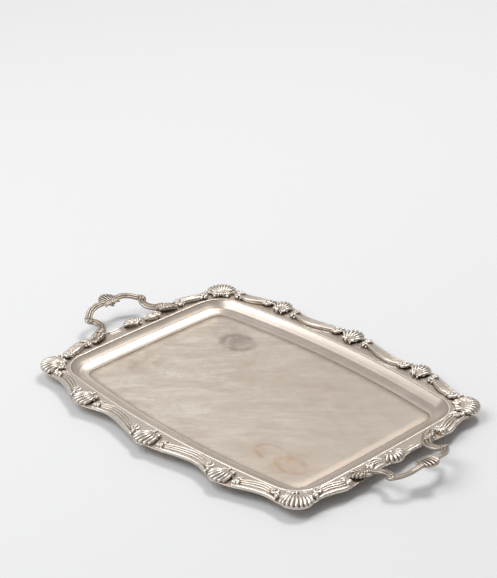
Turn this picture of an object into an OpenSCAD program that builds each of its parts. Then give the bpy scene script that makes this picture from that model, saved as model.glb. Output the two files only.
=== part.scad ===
// Dresser vanity tray: a pressed rectangular tray with a coved well, a border of cast
// shells and reeded scrolls soldered on its wavy rim, and a cast handle at each end.
// Lengths are in millimetres. X runs along the tray, Y across it and Z up from its base.

/* [Well] */
// Length of the well along X, at the rim's inner edge
well_length = 450; // [360:5:560]
// Width of the well along Y, at the rim's inner edge
well_width = 318; // [260:2:390]
// Depth of the floor below the rim
well_depth = 13; // [9:0.5:20]
// How far the middle of each long side bows out past its ends
long_bow = 18.5; // [8:0.5:24]
// How far the middle of each short side bows out past its ends
short_bow = 3.5; // [2:0.5:8]
// Radius of the well's corners at the rim's inner edge
corner_radius = 40; // [33:1:48]
// Horizontal run of the coved wall
wall_run = 24; // [18:1:28]
// Thickness of the pressed sheet
sheet = 1.4; // [1:0.1:2]
// Height of the crisp step where the cove meets the floor
floor_step = 0.8; // [0.4:0.1:1.2]

/* [Rim] */
// Width of the bright bead along the rim's inner edge
bead_width = 2.4; // [1.6:0.1:3.2]
// Height of that bead above the rim
bead_height = 0.7; // [0.3:0.1:1.2]
// Width of the rim at the dips of its wavy edge
rim_dip = 25; // [22:0.5:28]
// Width of the rim under the shells of the long sides
long_swell = 37; // [33:0.5:42]
// Width of the rim across its corners
corner_swell = 37; // [32:0.5:42]
// Width of the rim at the scrolls of the short sides
short_swell = 29; // [26:0.5:32]
// Width of the rim under the handle feet and the end shells
foot_swell = 26; // [24:0.5:29]

/* [Shells] */
// Distance from the rim's inner edge to the hinge of a shell
shell_hinge = 10; // [9:0.5:12]
// Length of the centre shells, from hinge to lip
centre_shell_length = 32; // [26:1:40]
// Length of the shells either side of the centre ones
outer_shell_length = 30; // [24:1:38]
// Length of the corner shells
corner_shell_length = 31; // [26:1:38]
// Length of the shells in the middle of the short sides
end_shell_length = 19; // [15:1:23]
// Height of a shell's crown above the rim
shell_height = 7.5; // [5:0.5:10]
// Ribs on each shell
shell_ribs = 7; // [5:1:9]

/* [Scrolls] */
// Width of the reeded band of a scroll
scroll_width = 16; // [12:0.5:18]
// Height of the reeds above the rim
scroll_height = 5.5; // [4:0.5:8]
// Reeds side by side in the band
scroll_reeds = 4; // [3:1:5]
// Bare rim left outside the reeded band
scroll_margin = 1; // [0.5:0.25:2]
// Gap between neighbouring castings
casting_gap = 0.6; // [0.3:0.1:1.5]

/* [Handles] */
// Distance between the middles of a handle's two feet
handle_span = 116; // [100:1:140]
// Distance from the feet out to the middle of the bar
handle_length = 50; // [42:1:60]
// Rise of the bar's middle above its feet
handle_rise = 12; // [6:0.5:18]
// Width of the bar, seen from above
bar_width = 9; // [6:0.5:11]
// Thickness of the bar, up and down
bar_thick = 6; // [4:0.5:7]
// Space between the rim and the underside of the bar at its feet
foot_lift = 1.5; // [0.8:0.1:3]
// Length of the leaf that spreads from each foot along the rim
leaf_length = 20; // [16:1:24]
// Width of the shell on the middle of the bar
grip_shell_width = 27; // [22:1:32]
// Length of that shell from its straight inner edge to its lip
grip_shell_length = 26; // [22:1:30]
// Height of that shell's crown above the middle of the bar
grip_shell_height = 5.6; // [4.5:0.1:8]
// How far that shell's edges droop below the middle of the bar
grip_shell_droop = 0.4; // [0.2:0.1:1.5]

/* [Hidden] */

pan_colour = [0.80, 0.76, 0.71];
casting_colour = [0.87, 0.84, 0.79];
handle_colour = [0.82, 0.78, 0.72];

half_length = well_length / 2;
half_width = well_width / 2;
rim_top = sheet + well_depth;
degrees = 180 / PI;

// The rim's inner edge in the back right quarter: a bowed long side, a corner arc and a
// bowed short side, each tangent to the next
long_radius = (half_length ^ 2 + long_bow ^ 2) / (2 * long_bow);
short_radius = (half_width ^ 2 + short_bow ^ 2) / (2 * short_bow);
long_centre = [0, half_width - long_radius];
short_centre = [half_length - short_radius, 0];
corner_centre = circles_meet(long_centre, long_radius - corner_radius,
                             short_centre, short_radius - corner_radius);
long_end_angle = heading(corner_centre - long_centre);
short_end_angle = heading(corner_centre - short_centre);
long_run = long_radius * (90 - long_end_angle) / degrees;
corner_run = corner_radius * (long_end_angle - short_end_angle) / degrees;
short_run = short_radius * short_end_angle / degrees;
quarter_run = long_run + corner_run + short_run;

// Where the castings stand, as distances along the rim's inner edge
outer_shell_at = 0.665 * long_run;
corner_shell_at = long_run + 0.45 * corner_run;
foot_at = quarter_run - handle_span / 2;
narrow_spread = 40;
end_spread = 58;
corner_spread = 50;
corner_hinge = rim_point(corner_shell_at, shell_hinge);
corner_angle = rim_angle(corner_shell_at);
centre_half = centre_shell_length * sin(narrow_spread) + casting_gap;
outer_half = outer_shell_length * sin(narrow_spread) + casting_gap;
end_half = end_shell_length + casting_gap;
corner_start = corner_at(corner_spread) - 2 * casting_gap;
corner_finish = corner_at(-corner_spread) + 2 * casting_gap;
leaf_finish = foot_at - leaf_length - casting_gap;
foot_start = foot_at + 1.6 * bar_width + 2 * casting_gap;

// Width of the rim against the distance along its inner edge
rim_widths = [
    [0, long_swell],
    [outer_shell_at / 2 + 0.08 * long_run, rim_dip],
    [outer_shell_at, long_swell],
    [long_run, rim_dip],
    [corner_shell_at, corner_swell],
    [long_run + 0.86 * corner_run, rim_dip - 2],
    [quarter_run - 0.84 * short_run, short_swell],
    [foot_at, foot_swell],
    [(foot_at + quarter_run) / 2, rim_dip - 2],
    [quarter_run, foot_swell]
];

// Steps in which the pan's outline and the castings are divided
long_steps = 15;
corner_steps = 10;
short_steps = 9;
wall_steps = 6;
scroll_steps = 12;
bar_sides = 12;
bar_steps = 3;

// Middle line of a handle's bar from one foot to the flat of its middle: shares of the
// handle's length, half span and rise
bar_route = [
    [0, 1, 0], [0.14, 0.81, 0.03], [0.34, 0.715, 0.12], [0.56, 0.735, 0.25],
    [0.69, 0.83, 0.36], [0.81, 0.74, 0.52], [0.94, 0.595, 0.74], [1, 0.42, 0.92]
];
foot_point = [rim_point(foot_at, 0).x + foot_swell - bar_width / 2 - 1,
              handle_span / 2, rim_top + foot_lift + bar_thick / 2];
grip_half = grip_shell_width / 2;
grip_middle = foot_point.z + handle_rise;
grip_x = foot_point.x + handle_length;
bar_points = concat(
    [for (p = bar_route) [foot_point.x + p.x * handle_length, p.y * handle_span / 2,
                          foot_point.z + p.z * handle_rise]],
    [[grip_x, grip_half + 0.5, grip_middle]]);

function heading(v) = atan2(v.y, v.x);

// The meeting point, on the +X +Y side, of two circles
function circles_meet(c1, r1, c2, r2) =
    let (d = norm(c2 - c1), e = (c2 - c1) / d,
         a = (r1 ^ 2 - r2 ^ 2 + d ^ 2) / (2 * d), h = sqrt(r1 ^ 2 - a ^ 2))
    c1 + a * e + h * [e.y, -e.x];

// Centre, radius and outward direction of the rim's inner edge at distance s
function rim_edge(s) =
    s < long_run ? [long_centre, long_radius, 90 - s / long_radius * degrees]
    : s < long_run + corner_run
        ? [corner_centre, corner_radius, long_end_angle - (s - long_run) / corner_radius * degrees]
    : [short_centre, short_radius, (quarter_run - s) / short_radius * degrees];

function rim_angle(s) = rim_edge(s)[2];

// The point t outside the rim's inner edge at distance s
function rim_point(s, t) =
    let (e = rim_edge(s)) e[0] + (e[1] + t) * [cos(e[2]), sin(e[2])];

// Distance round the corner to the end of the corner shell's lip, turned from the shell's middle
function corner_at(turn) =
    let (a = corner_angle + turn,
         lip = corner_hinge + corner_shell_length * [cos(a), sin(a)] - corner_centre)
    long_run + corner_radius * (long_end_angle - atan2(lip.y, lip.x)) / degrees;

// Smooth value at s from a table of turning points
function eased(s, table, i = 0) =
    i > len(table) - 2 ? table[len(table) - 1][1]
    : s > table[i + 1][0] ? eased(s, table, i + 1)
    : let (f = (s - table[i][0]) / (table[i + 1][0] - table[i][0]))
      table[i][1] + (table[i + 1][1] - table[i][1]) * (1 - cos(180 * f)) / 2;

function rim_width(s) = eased(s, rim_widths);

// Faces of a skin over rings of n points, listed clockwise along the way they travel
function skin_faces(rings, n) = concat(
    [for (i = [0 : rings - 2], j = [0 : n - 1])
        let (a = i * n + j, d = i * n + (j + 1) % n) each [[a, a + n, d + n], [a, d + n, d]]],
    [[for (j = [0 : n - 1]) j]],
    [[for (j = [n - 1 : -1 : 0]) (rings - 1) * n + j]]);

// A solid over a list of rings
module skin(rings) {
    polyhedron(points = [for (r = rings) each r], faces = skin_faces(len(rings), len(rings[0])),
               convexity = 6);
}

// The same casting in another quarter of the tray
module quarter(right, back) {
    mirror([right ? 0 : 1, 0, 0]) mirror([0, back ? 0 : 1, 0]) children();
}

// Height of the wall's upper face at share f of its run
function wall_top(f) = sheet + floor_step + (well_depth - floor_step - 0.4) * f ^ 1.9;
// Height of the wall's lower face, a sheet's thickness away
function wall_bottom(f) =
    wall_top(f) - sheet * sqrt(1 + (1.9 * well_depth / wall_run * f ^ 0.9) ^ 2);

// The pan's section at distance s, from the floor over the rim and back underneath
function pan_section(s) = let (w = rim_width(s)) concat(
    [[-wall_run - 0.4, sheet]],
    [for (k = [0 : wall_steps]) [(k / wall_steps - 1) * wall_run, wall_top(k / wall_steps)]],
    [[0.4, rim_top + 0.6 * bead_height], [bead_width / 2, rim_top + bead_height],
     [bead_width, rim_top], [w - 0.4, rim_top], [w, rim_top - sheet / 2],
     [w - 0.4, rim_top - sheet], [sheet / 2, rim_top - sheet]],
    [for (k = [wall_steps - 1 : -1 : 0])
        [(k / wall_steps - 1) * wall_run + 0.2, wall_bottom(k / wall_steps)]],
    [[-wall_run - 0.2, 0]]);

// Distances at which the pan's outline is divided, over one quarter
pan_quarter = concat(
    [for (k = [0 : long_steps - 1]) long_run * k / long_steps],
    [for (k = [0 : corner_steps - 1]) long_run + corner_run * k / corner_steps],
    [for (k = [0 : short_steps]) long_run + corner_run + short_run * k / short_steps]);

module tray_pan() {
    n = len(pan_quarter) - 1;
    stations = concat(
        [for (k = [0 : n - 1]) [pan_quarter[k], 1, 1]],
        [for (k = [n : -1 : 1]) [pan_quarter[k], 1, -1]],
        [for (k = [0 : n - 1]) [pan_quarter[k], -1, -1]],
        [for (k = [n : -1 : 1]) [pan_quarter[k], -1, 1]]);
    m = len(pan_section(0));
    points = [for (st = stations, p = pan_section(st[0]))
        let (q = rim_point(st[0], p.x)) [st[1] * q.x, st[2] * q.y, p.y]];
    count = len(stations);
    faces = concat(
        [for (i = [0 : count - 1], j = [0 : m - 2])
            let (a = i * m + j, b = (i + 1) % count * m + j)
            each [[a, a + 1, b + 1], [a, b + 1, b]]],
        [[for (i = [0 : count - 1]) i * m]],
        [[for (i = [count - 1 : -1 : 0]) i * m + m - 1]]);
    color(pan_colour) polyhedron(points = points, faces = faces, convexity = 8);
}

// A scallop shell: ribs fan out from a hinge at distance s along the rim to a wavy lip
module border_shell(s, length, spread) {
    hinge = rim_point(s, shell_hinge);
    fans = 2 * shell_ribs;
    rings = [for (i = [0 : fans])
        let (phi = rim_angle(s) + spread * (1 - 2 * i / fans),
             ridge = i % 2, lip = length * (ridge == 1 ? 1 : 0.93))
        [for (p = [[lip, 0], [lip, 2.2 + ridge], [0.82 * length, shell_height * (0.72 + 0.16 * ridge)],
                   [0.5 * length, shell_height * (0.86 + 0.14 * ridge)],
                   [0.2 * length, shell_height * (0.62 + 0.08 * ridge)],
                   [0.06 * length, 0.45 * shell_height], [0.06 * length, 0]])
            [hinge.x + p.x * cos(phi), hinge.y + p.x * sin(phi), rim_top + p.y]]];
    color(casting_colour) skin(rings);
}

// A reeded scroll that follows the rim's wavy edge from distance s1 to s2
module border_scroll(s1, s2) {
    pitch = 1 / scroll_reeds;
    rings = [for (i = [0 : scroll_steps])
        let (f = i / scroll_steps, s = s1 + (s2 - s1) * f, swell = sin(180 * f) ^ 0.6,
             outer = rim_width(s) - scroll_margin, width = scroll_width * (0.55 + 0.45 * swell),
             high = scroll_height * (0.7 + 0.3 * swell))
        [for (p = concat([[0, 0]],
                         [for (r = [0 : scroll_reeds - 1]) each
                             [[r * pitch, 0.6], [(r + 0.3) * pitch, 1 - 0.1 * r],
                              [(r + 0.7) * pitch, 1 - 0.1 * r]]],
                         [[1, 0.45], [1, 0]]))
            let (q = rim_point(s, outer - p.x * width)) [q.x, q.y, rim_top + p.y * high]]];
    color(casting_colour) skin(rings);
}

// A cubic through p and q with slopes u and v, at share f: its place and its direction
function curve_at(p, q, u, v, f) =
    (2 * f ^ 3 - 3 * f ^ 2 + 1) * p + (f ^ 3 - 2 * f ^ 2 + f) * u
    + (3 * f ^ 2 - 2 * f ^ 3) * q + (f ^ 3 - f ^ 2) * v;
function curve_slope(p, q, u, v, f) =
    (6 * f ^ 2 - 6 * f) * p + (3 * f ^ 2 - 4 * f + 1) * u
    + (6 * f - 6 * f ^ 2) * q + (3 * f ^ 2 - 2 * f) * v;

// Slope of the bar's middle line at its point i; the last points straight across the grip
function bar_slope(i) =
    let (last = len(bar_points) - 1)
    i == 0 ? bar_points[1] - bar_points[0]
    : i == last ? [0, bar_points[last].y - bar_points[last - 1].y, 0]
    : (bar_points[i + 1] - bar_points[i - 1]) / 2;

// Offset of the bar's section at angle a, for a bar that travels along d
function bar_offset(d, a) =
    let (h = norm([d.x, d.y]))
    [d.y / h * cos(a) * bar_width / 2, -d.x / h * cos(a) * bar_width / 2, sin(a) * bar_thick / 2];

function bar_ring(p, d) = [for (k = [0 : bar_sides - 1]) p + bar_offset(d, 180 - 360 * k / bar_sides)];

module handle_bar() {
    last = len(bar_points) - 1;
    places = concat(
        [for (i = [0 : last - 1], k = [0 : bar_steps - 1])
            let (p = bar_points[i], q = bar_points[i + 1], u = bar_slope(i), v = bar_slope(i + 1))
            [curve_at(p, q, u, v, k / bar_steps), curve_slope(p, q, u, v, k / bar_steps)]],
        [[bar_points[last], bar_slope(last)]]);
    back = [for (k = [len(places) - 1 : -1 : 0])
        let (p = places[k][0], d = places[k][1]) [[p.x, -p.y, p.z], [-d.x, d.y, -d.z]]];
    color(handle_colour) skin([for (c = concat(places, back)) bar_ring(c[0], c[1])]);
}

// A ribbed shell saddled over the middle of the bar
module handle_shell() {
    inner = grip_x - 0.44 * grip_shell_length;
    slices = 4 * shell_ribs;
    groove = 0.8;
    saddle = [for (k = [bar_sides / 2 : -1 : 0])
        let (o = bar_offset([0, -1, 0], 180 - 360 * k / bar_sides)) [grip_x + o.x, o.z]];
    rings = [for (i = [0 : slices])
        let (f = 1 - 2 * i / slices, y = f * grip_half, ridge = (i + 1) % 4 < 2 ? 1 : 0,
             bulge = 0.78 + 0.22 * sqrt(1 - f ^ 2),
             lip = inner + grip_shell_length * bulge - groove * (1 - ridge),
             crown = grip_shell_height * bulge)
        [for (p = concat([[lip, -grip_shell_droop], [lip, 0.4 * crown]],
                         [for (g = [0.8, 0.55, 0.3])
                             [inner + g * (lip - inner), crown - groove * (1 - ridge)]],
                         [[inner, 0.7 * crown], [inner, -grip_shell_droop]], saddle))
            [p.x, y, grip_middle + p.y]]];
    color(handle_colour) skin(rings);
}

// A leaf that grips the foot of the bar and tapers away along the rim
module handle_leaf() {
    away = bar_points[0] - bar_points[1];
    d = [away.x, away.y, 0] / norm([away.x, away.y]);
    right = [d.y, -d.x, 0];
    grip_high = foot_lift + bar_thick + 1;
    shape = [[0, 0.78, 1], [0.12, 0.95, 1.02], [0.24, 0.8, 0.9], [0.45, 1, 0.8],
             [0.7, 0.85, 0.62], [0.88, 0.6, 0.5], [1, 0.28, 0.3]];
    half = bar_width / 2 + 2;
    foot = [foot_point.x, foot_point.y, rim_top];
    color(handle_colour) skin([for (r = shape)
        let (c = foot + r[0] * leaf_length * d, w = r[1] * half, h = r[2] * grip_high)
        [for (p = [[-1, 0], [-1, 0.72], [-0.6, 0.98], [-0.3, 0.9], [0, 1.05], [0.3, 0.9],
                   [0.6, 0.98], [1, 0.72], [1, 0]])
            c + p.x * w * right + [0, 0, p.y * h]]]);
}

module centre_shell() { border_shell(0, centre_shell_length, narrow_spread); }
module outer_shell() { border_shell(outer_shell_at, outer_shell_length, narrow_spread); }
module corner_shell() { border_shell(corner_shell_at, corner_shell_length, corner_spread); }
module end_shell() { border_shell(quarter_run, end_shell_length, end_spread); }
module inner_scroll() { border_scroll(centre_half, outer_shell_at - outer_half); }
module outer_scroll() { border_scroll(outer_shell_at + outer_half, corner_start); }
module end_scroll() { border_scroll(corner_finish, leaf_finish); }
module foot_scroll() { border_scroll(foot_start, quarter_run - end_half); }

tray_pan();
quarter(true, false) centre_shell();  // front_centre_shell
quarter(true, true) centre_shell();  // back_centre_shell
quarter(false, false) outer_shell();  // front_left_shell
quarter(true, false) outer_shell();  // front_right_shell
quarter(false, true) outer_shell();  // back_left_shell
quarter(true, true) outer_shell();  // back_right_shell
quarter(false, false) corner_shell();  // front_left_corner_shell
quarter(true, false) corner_shell();  // front_right_corner_shell
quarter(false, true) corner_shell();  // back_left_corner_shell
quarter(true, true) corner_shell();  // back_right_corner_shell
quarter(false, true) end_shell();  // left_end_shell
quarter(true, true) end_shell();  // right_end_shell
quarter(false, false) inner_scroll();  // front_left_inner_scroll
quarter(true, false) inner_scroll();  // front_right_inner_scroll
quarter(false, true) inner_scroll();  // back_left_inner_scroll
quarter(true, true) inner_scroll();  // back_right_inner_scroll
quarter(false, false) outer_scroll();  // front_left_outer_scroll
quarter(true, false) outer_scroll();  // front_right_outer_scroll
quarter(false, true) outer_scroll();  // back_left_outer_scroll
quarter(true, true) outer_scroll();  // back_right_outer_scroll
quarter(false, false) end_scroll();  // left_front_end_scroll
quarter(true, false) end_scroll();  // right_front_end_scroll
quarter(false, true) end_scroll();  // left_back_end_scroll
quarter(true, true) end_scroll();  // right_back_end_scroll
quarter(false, false) foot_scroll();  // left_front_foot_scroll
quarter(true, false) foot_scroll();  // right_front_foot_scroll
quarter(false, true) foot_scroll();  // left_back_foot_scroll
quarter(true, true) foot_scroll();  // right_back_foot_scroll
quarter(false, true) handle_bar();  // left_handle_bar
quarter(true, true) handle_bar();  // right_handle_bar
quarter(false, true) handle_shell();  // left_handle_shell
quarter(true, true) handle_shell();  // right_handle_shell
quarter(false, false) handle_leaf();  // left_front_handle_leaf
quarter(true, false) handle_leaf();  // right_front_handle_leaf
quarter(false, true) handle_leaf();  // left_back_handle_leaf
quarter(true, true) handle_leaf();  // right_back_handle_leaf
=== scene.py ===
"""Dresser vanity tray: a pressed silver-plated pan, a cast border of shells and scrolls, and two handles."""
import logging
import math
from dataclasses import dataclass, field
from enum import Enum
from typing import Any, Callable, Sequence

import bpy
import numpy as np
from mathutils import Matrix, Vector


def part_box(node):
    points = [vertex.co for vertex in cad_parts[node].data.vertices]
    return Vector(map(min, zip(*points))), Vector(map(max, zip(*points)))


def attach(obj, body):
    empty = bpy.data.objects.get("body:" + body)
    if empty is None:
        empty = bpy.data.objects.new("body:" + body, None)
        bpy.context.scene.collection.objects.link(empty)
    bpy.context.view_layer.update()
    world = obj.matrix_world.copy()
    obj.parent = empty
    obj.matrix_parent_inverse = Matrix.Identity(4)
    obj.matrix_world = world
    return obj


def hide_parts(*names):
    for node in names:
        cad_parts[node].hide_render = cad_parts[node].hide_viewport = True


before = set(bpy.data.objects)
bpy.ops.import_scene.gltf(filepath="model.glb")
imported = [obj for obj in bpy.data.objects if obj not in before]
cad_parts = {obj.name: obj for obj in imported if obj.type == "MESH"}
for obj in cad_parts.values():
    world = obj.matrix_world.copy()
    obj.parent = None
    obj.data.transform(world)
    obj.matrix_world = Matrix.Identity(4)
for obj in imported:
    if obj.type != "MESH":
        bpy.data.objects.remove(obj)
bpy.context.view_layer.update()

MM = 0.001
BODY = "root"
SEED = 24
TUBE_SIDES = 12
log = logging.getLogger("tray")

Array = np.ndarray
Colour = tuple[float, float, float]


# ---------------------------------------------------------------- node trees

class Shade:
    """A socket that takes part in arithmetic, so that node maths reads as an expression."""

    def __init__(self, bench: "Bench", socket: Any) -> None:
        """Wraps one output socket of a tree."""
        self.bench = bench
        self.socket = socket

    def __add__(self, other: Any) -> "Shade":
        """Sum of two values."""
        return self.bench.maths("ADD", self, other)

    def __radd__(self, other: Any) -> "Shade":
        """Sum with a plain number on the left."""
        return self.bench.maths("ADD", other, self)

    def __sub__(self, other: Any) -> "Shade":
        """Difference of two values."""
        return self.bench.maths("SUBTRACT", self, other)

    def __rsub__(self, other: Any) -> "Shade":
        """Difference with a plain number on the left."""
        return self.bench.maths("SUBTRACT", other, self)

    def __mul__(self, other: Any) -> "Shade":
        """Product of two values."""
        return self.bench.maths("MULTIPLY", self, other)

    def __rmul__(self, other: Any) -> "Shade":
        """Product with a plain number on the left."""
        return self.bench.maths("MULTIPLY", other, self)

    def __truediv__(self, other: Any) -> "Shade":
        """Quotient of two values."""
        return self.bench.maths("DIVIDE", self, other)

    def __pow__(self, other: Any) -> "Shade":
        """Power of a value."""
        return self.bench.maths("POWER", self, other)

    def step(self, low: float, high: float) -> "Shade":
        """Smooth rise from 0 at low to 1 at high, or fall where low is above high.

        Args:
            low: the value at which the result is 0.
            high: the value at which the result is 1.

        Returns:
            The eased value.
        """
        start, end, first, last = (low, high, 0.0, 1.0) if low < high else (high, low, 1.0, 0.0)
        node = self.bench.node("ShaderNodeMapRange", {"interpolation_type": "SMOOTHSTEP"},
                               {"Value": self, "From Min": start, "From Max": end,
                                "To Min": first, "To Max": last})
        return Shade(self.bench, node.outputs["Result"])


class Bench:
    """Adds nodes and links to one shader or geometry tree."""

    def __init__(self, tree: bpy.types.NodeTree) -> None:
        """Works on the given tree."""
        self.tree = tree

    def node(self, kind: str, settings: dict[str, Any] | None = None,
             inputs: dict[str | int, Any] | None = None) -> bpy.types.Node:
        """Adds a node, its settings first and then its sockets.

        Args:
            kind: the node's type.
            settings: its properties; "stops" gives a colour ramp's stops.
            inputs: socket name or index to a value, a Shade or a socket.

        Returns:
            The new node.
        """
        node = self.tree.nodes.new(kind)
        for name, value in (settings or {}).items():
            if name == "stops":
                ramp = node.color_ramp
                while len(ramp.elements) < len(value):
                    ramp.elements.new(0.5)
                for element, (place, colour) in zip(ramp.elements, value):
                    element.position = place
                    element.color = (*colour, 1.0)
            else:
                setattr(node, name, value)
        for key, value in (inputs or {}).items():
            if isinstance(value, Shade):
                self.tree.links.new(value.socket, node.inputs[key])
            elif isinstance(value, bpy.types.NodeSocket):
                self.tree.links.new(value, node.inputs[key])
            else:
                node.inputs[key].default_value = value
        return node

    def out(self, kind: str, output: str | int, settings: dict[str, Any] | None = None,
            inputs: dict[str | int, Any] | None = None) -> Shade:
        """Adds a node and returns one of its outputs as a Shade."""
        return Shade(self, self.node(kind, settings, inputs).outputs[output])

    def maths(self, operation: str, *values: Any) -> Shade:
        """Adds a Math node on one, two or three values."""
        return self.out("ShaderNodeMath", 0, {"operation": operation}, dict(enumerate(values)))


# ---------------------------------------------------------------- finishes

def tinted(bench: Bench, mask: Any, below: Any, above: Any) -> Any:
    """Mixes two colours by a mask.

    Args:
        bench: the material's bench.
        mask: 0 gives below and 1 gives above.
        below: a colour socket or a plain colour.
        above: a colour socket or a plain colour.

    Returns:
        The mixed colour's socket.
    """
    def plain(colour: Any) -> Any:
        """A plain colour gains its alpha."""
        return (*colour, 1.0) if isinstance(colour, tuple) else colour
    node = bench.node("ShaderNodeMix", {"data_type": "RGBA", "blend_type": "MIX"},
                      {0: mask, 6: plain(below), 7: plain(above)})
    return node.outputs[2]


@dataclass(frozen=True)
class SilverFinish:
    """Worn silver plate with painted light: crests tinted bright as a painted highlight over rubbed wear,
    hollows tinted dark as painted shade over tarnish.
    """

    name: str
    silver: Colour
    bright: Colour
    tarnish_and_shade: Colour
    warm: Colour
    roughness: float
    roughness_swing: float
    grime_and_shade: float
    bump: float

    def noise(self, bench: Bench, scale: float, detail: float, place: Any = None,
              distortion: float = 0.0) -> Shade:
        """A noise value over the piece, about 0.5 on average.

        Args:
            bench: the material's bench.
            scale: cells in a metre.
            detail: octaves of finer noise.
            place: the coordinates, or the object's own.
            distortion: how far the cells are pulled out of shape.

        Returns:
            The noise value.
        """
        vector = place if place is not None else self.place(bench)
        return bench.out("ShaderNodeTexNoise", "Fac", None,
                         {"Vector": vector, "Scale": scale, "Detail": detail,
                          "Roughness": 0.6, "Distortion": distortion})

    def place(self, bench: Bench) -> Any:
        """The object's own coordinates."""
        return bench.node("ShaderNodeTexCoord").outputs["Object"]

    def stretched(self, bench: Bench, turn: float, along: float, across: float) -> Any:
        """Coordinates turned about Z and squeezed, for scratches that run one way.

        Args:
            bench: the material's bench.
            turn: the direction of the scratches, in radians.
            along: scale along them.
            across: scale across them.

        Returns:
            The vector socket.
        """
        turned = bench.node("ShaderNodeMapping", {"vector_type": "POINT"},
                            {"Vector": self.place(bench), "Rotation": (0.0, 0.0, turn)})
        return bench.node("ShaderNodeVectorMath", {"operation": "MULTIPLY"},
                          {0: turned.outputs[0], 1: (along, across, across)}).outputs[0]

    def attribute(self, bench: Bench, name: str) -> Shade:
        """A value stored on the mesh."""
        return bench.out("ShaderNodeAttribute", "Fac", {"attribute_name": name})

    def surface(self, bench: Bench, colour: Any, roughness: Shade, height: Shade) -> None:
        """Feeds the shader.

        Args:
            bench: the material's bench.
            colour: the base colour's socket.
            roughness: the roughness.
            height: the height that the bump reads.
        """
        bump = bench.node("ShaderNodeBump", None,
                          {"Strength": self.bump, "Distance": 0.0006, "Height": height})
        shader = bench.node("ShaderNodeBsdfPrincipled", None,
                            {"Base Color": colour, "Metallic": 1.0, "Roughness": roughness,
                             "Normal": bump.outputs[0]})
        bench.node("ShaderNodeOutputMaterial", None, {"Surface": shader.outputs[0]})

    def start(self) -> tuple[bpy.types.Material, Bench]:
        """A new material and the bench for its emptied tree.

        Returns:
            The material and its bench.
        """
        material = bpy.data.materials.new(self.name)
        material.use_nodes = True
        material.node_tree.nodes.clear()
        return material, Bench(material.node_tree)

    def material(self) -> bpy.types.Material:
        """The finish of a casting, from its "hollow" and "height" values.

        Returns:
            The material.
        """
        material, bench = self.start()
        hollow = self.attribute(bench, "hollow")
        high = self.attribute(bench, "height")
        patches = self.noise(bench, 45.0, 3.0)
        grain = self.noise(bench, 900.0, 3.0)
        # painted shade: hollows are tinted towards the dark tarnish colour to stand in for shade in crevices,
        # along with real tarnish
        dirt_and_shade = (hollow + 0.3 * (patches - 0.5)).step(0.5, 0.8) * self.grime_and_shade
        # painted highlight: crests are tinted bright, along with real rubbed wear
        crest_highlight_and_wear = (1.0 - hollow + 0.25 * (patches - 0.5)).step(0.58, 0.84)
        warm_mask = (patches + 0.4 * (0.5 - high)).step(0.5, 0.8) * 0.7
        colour = tinted(bench, warm_mask, self.silver, self.warm)
        colour = tinted(bench, crest_highlight_and_wear, colour, self.bright)
        colour = tinted(bench, dirt_and_shade, colour, self.tarnish_and_shade)
        roughness = self.roughness + self.roughness_swing * (grain - 0.5) + 0.22 * dirt_and_shade - 0.07 * crest_highlight_and_wear
        self.surface(bench, colour, roughness, grain)
        return material


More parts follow.
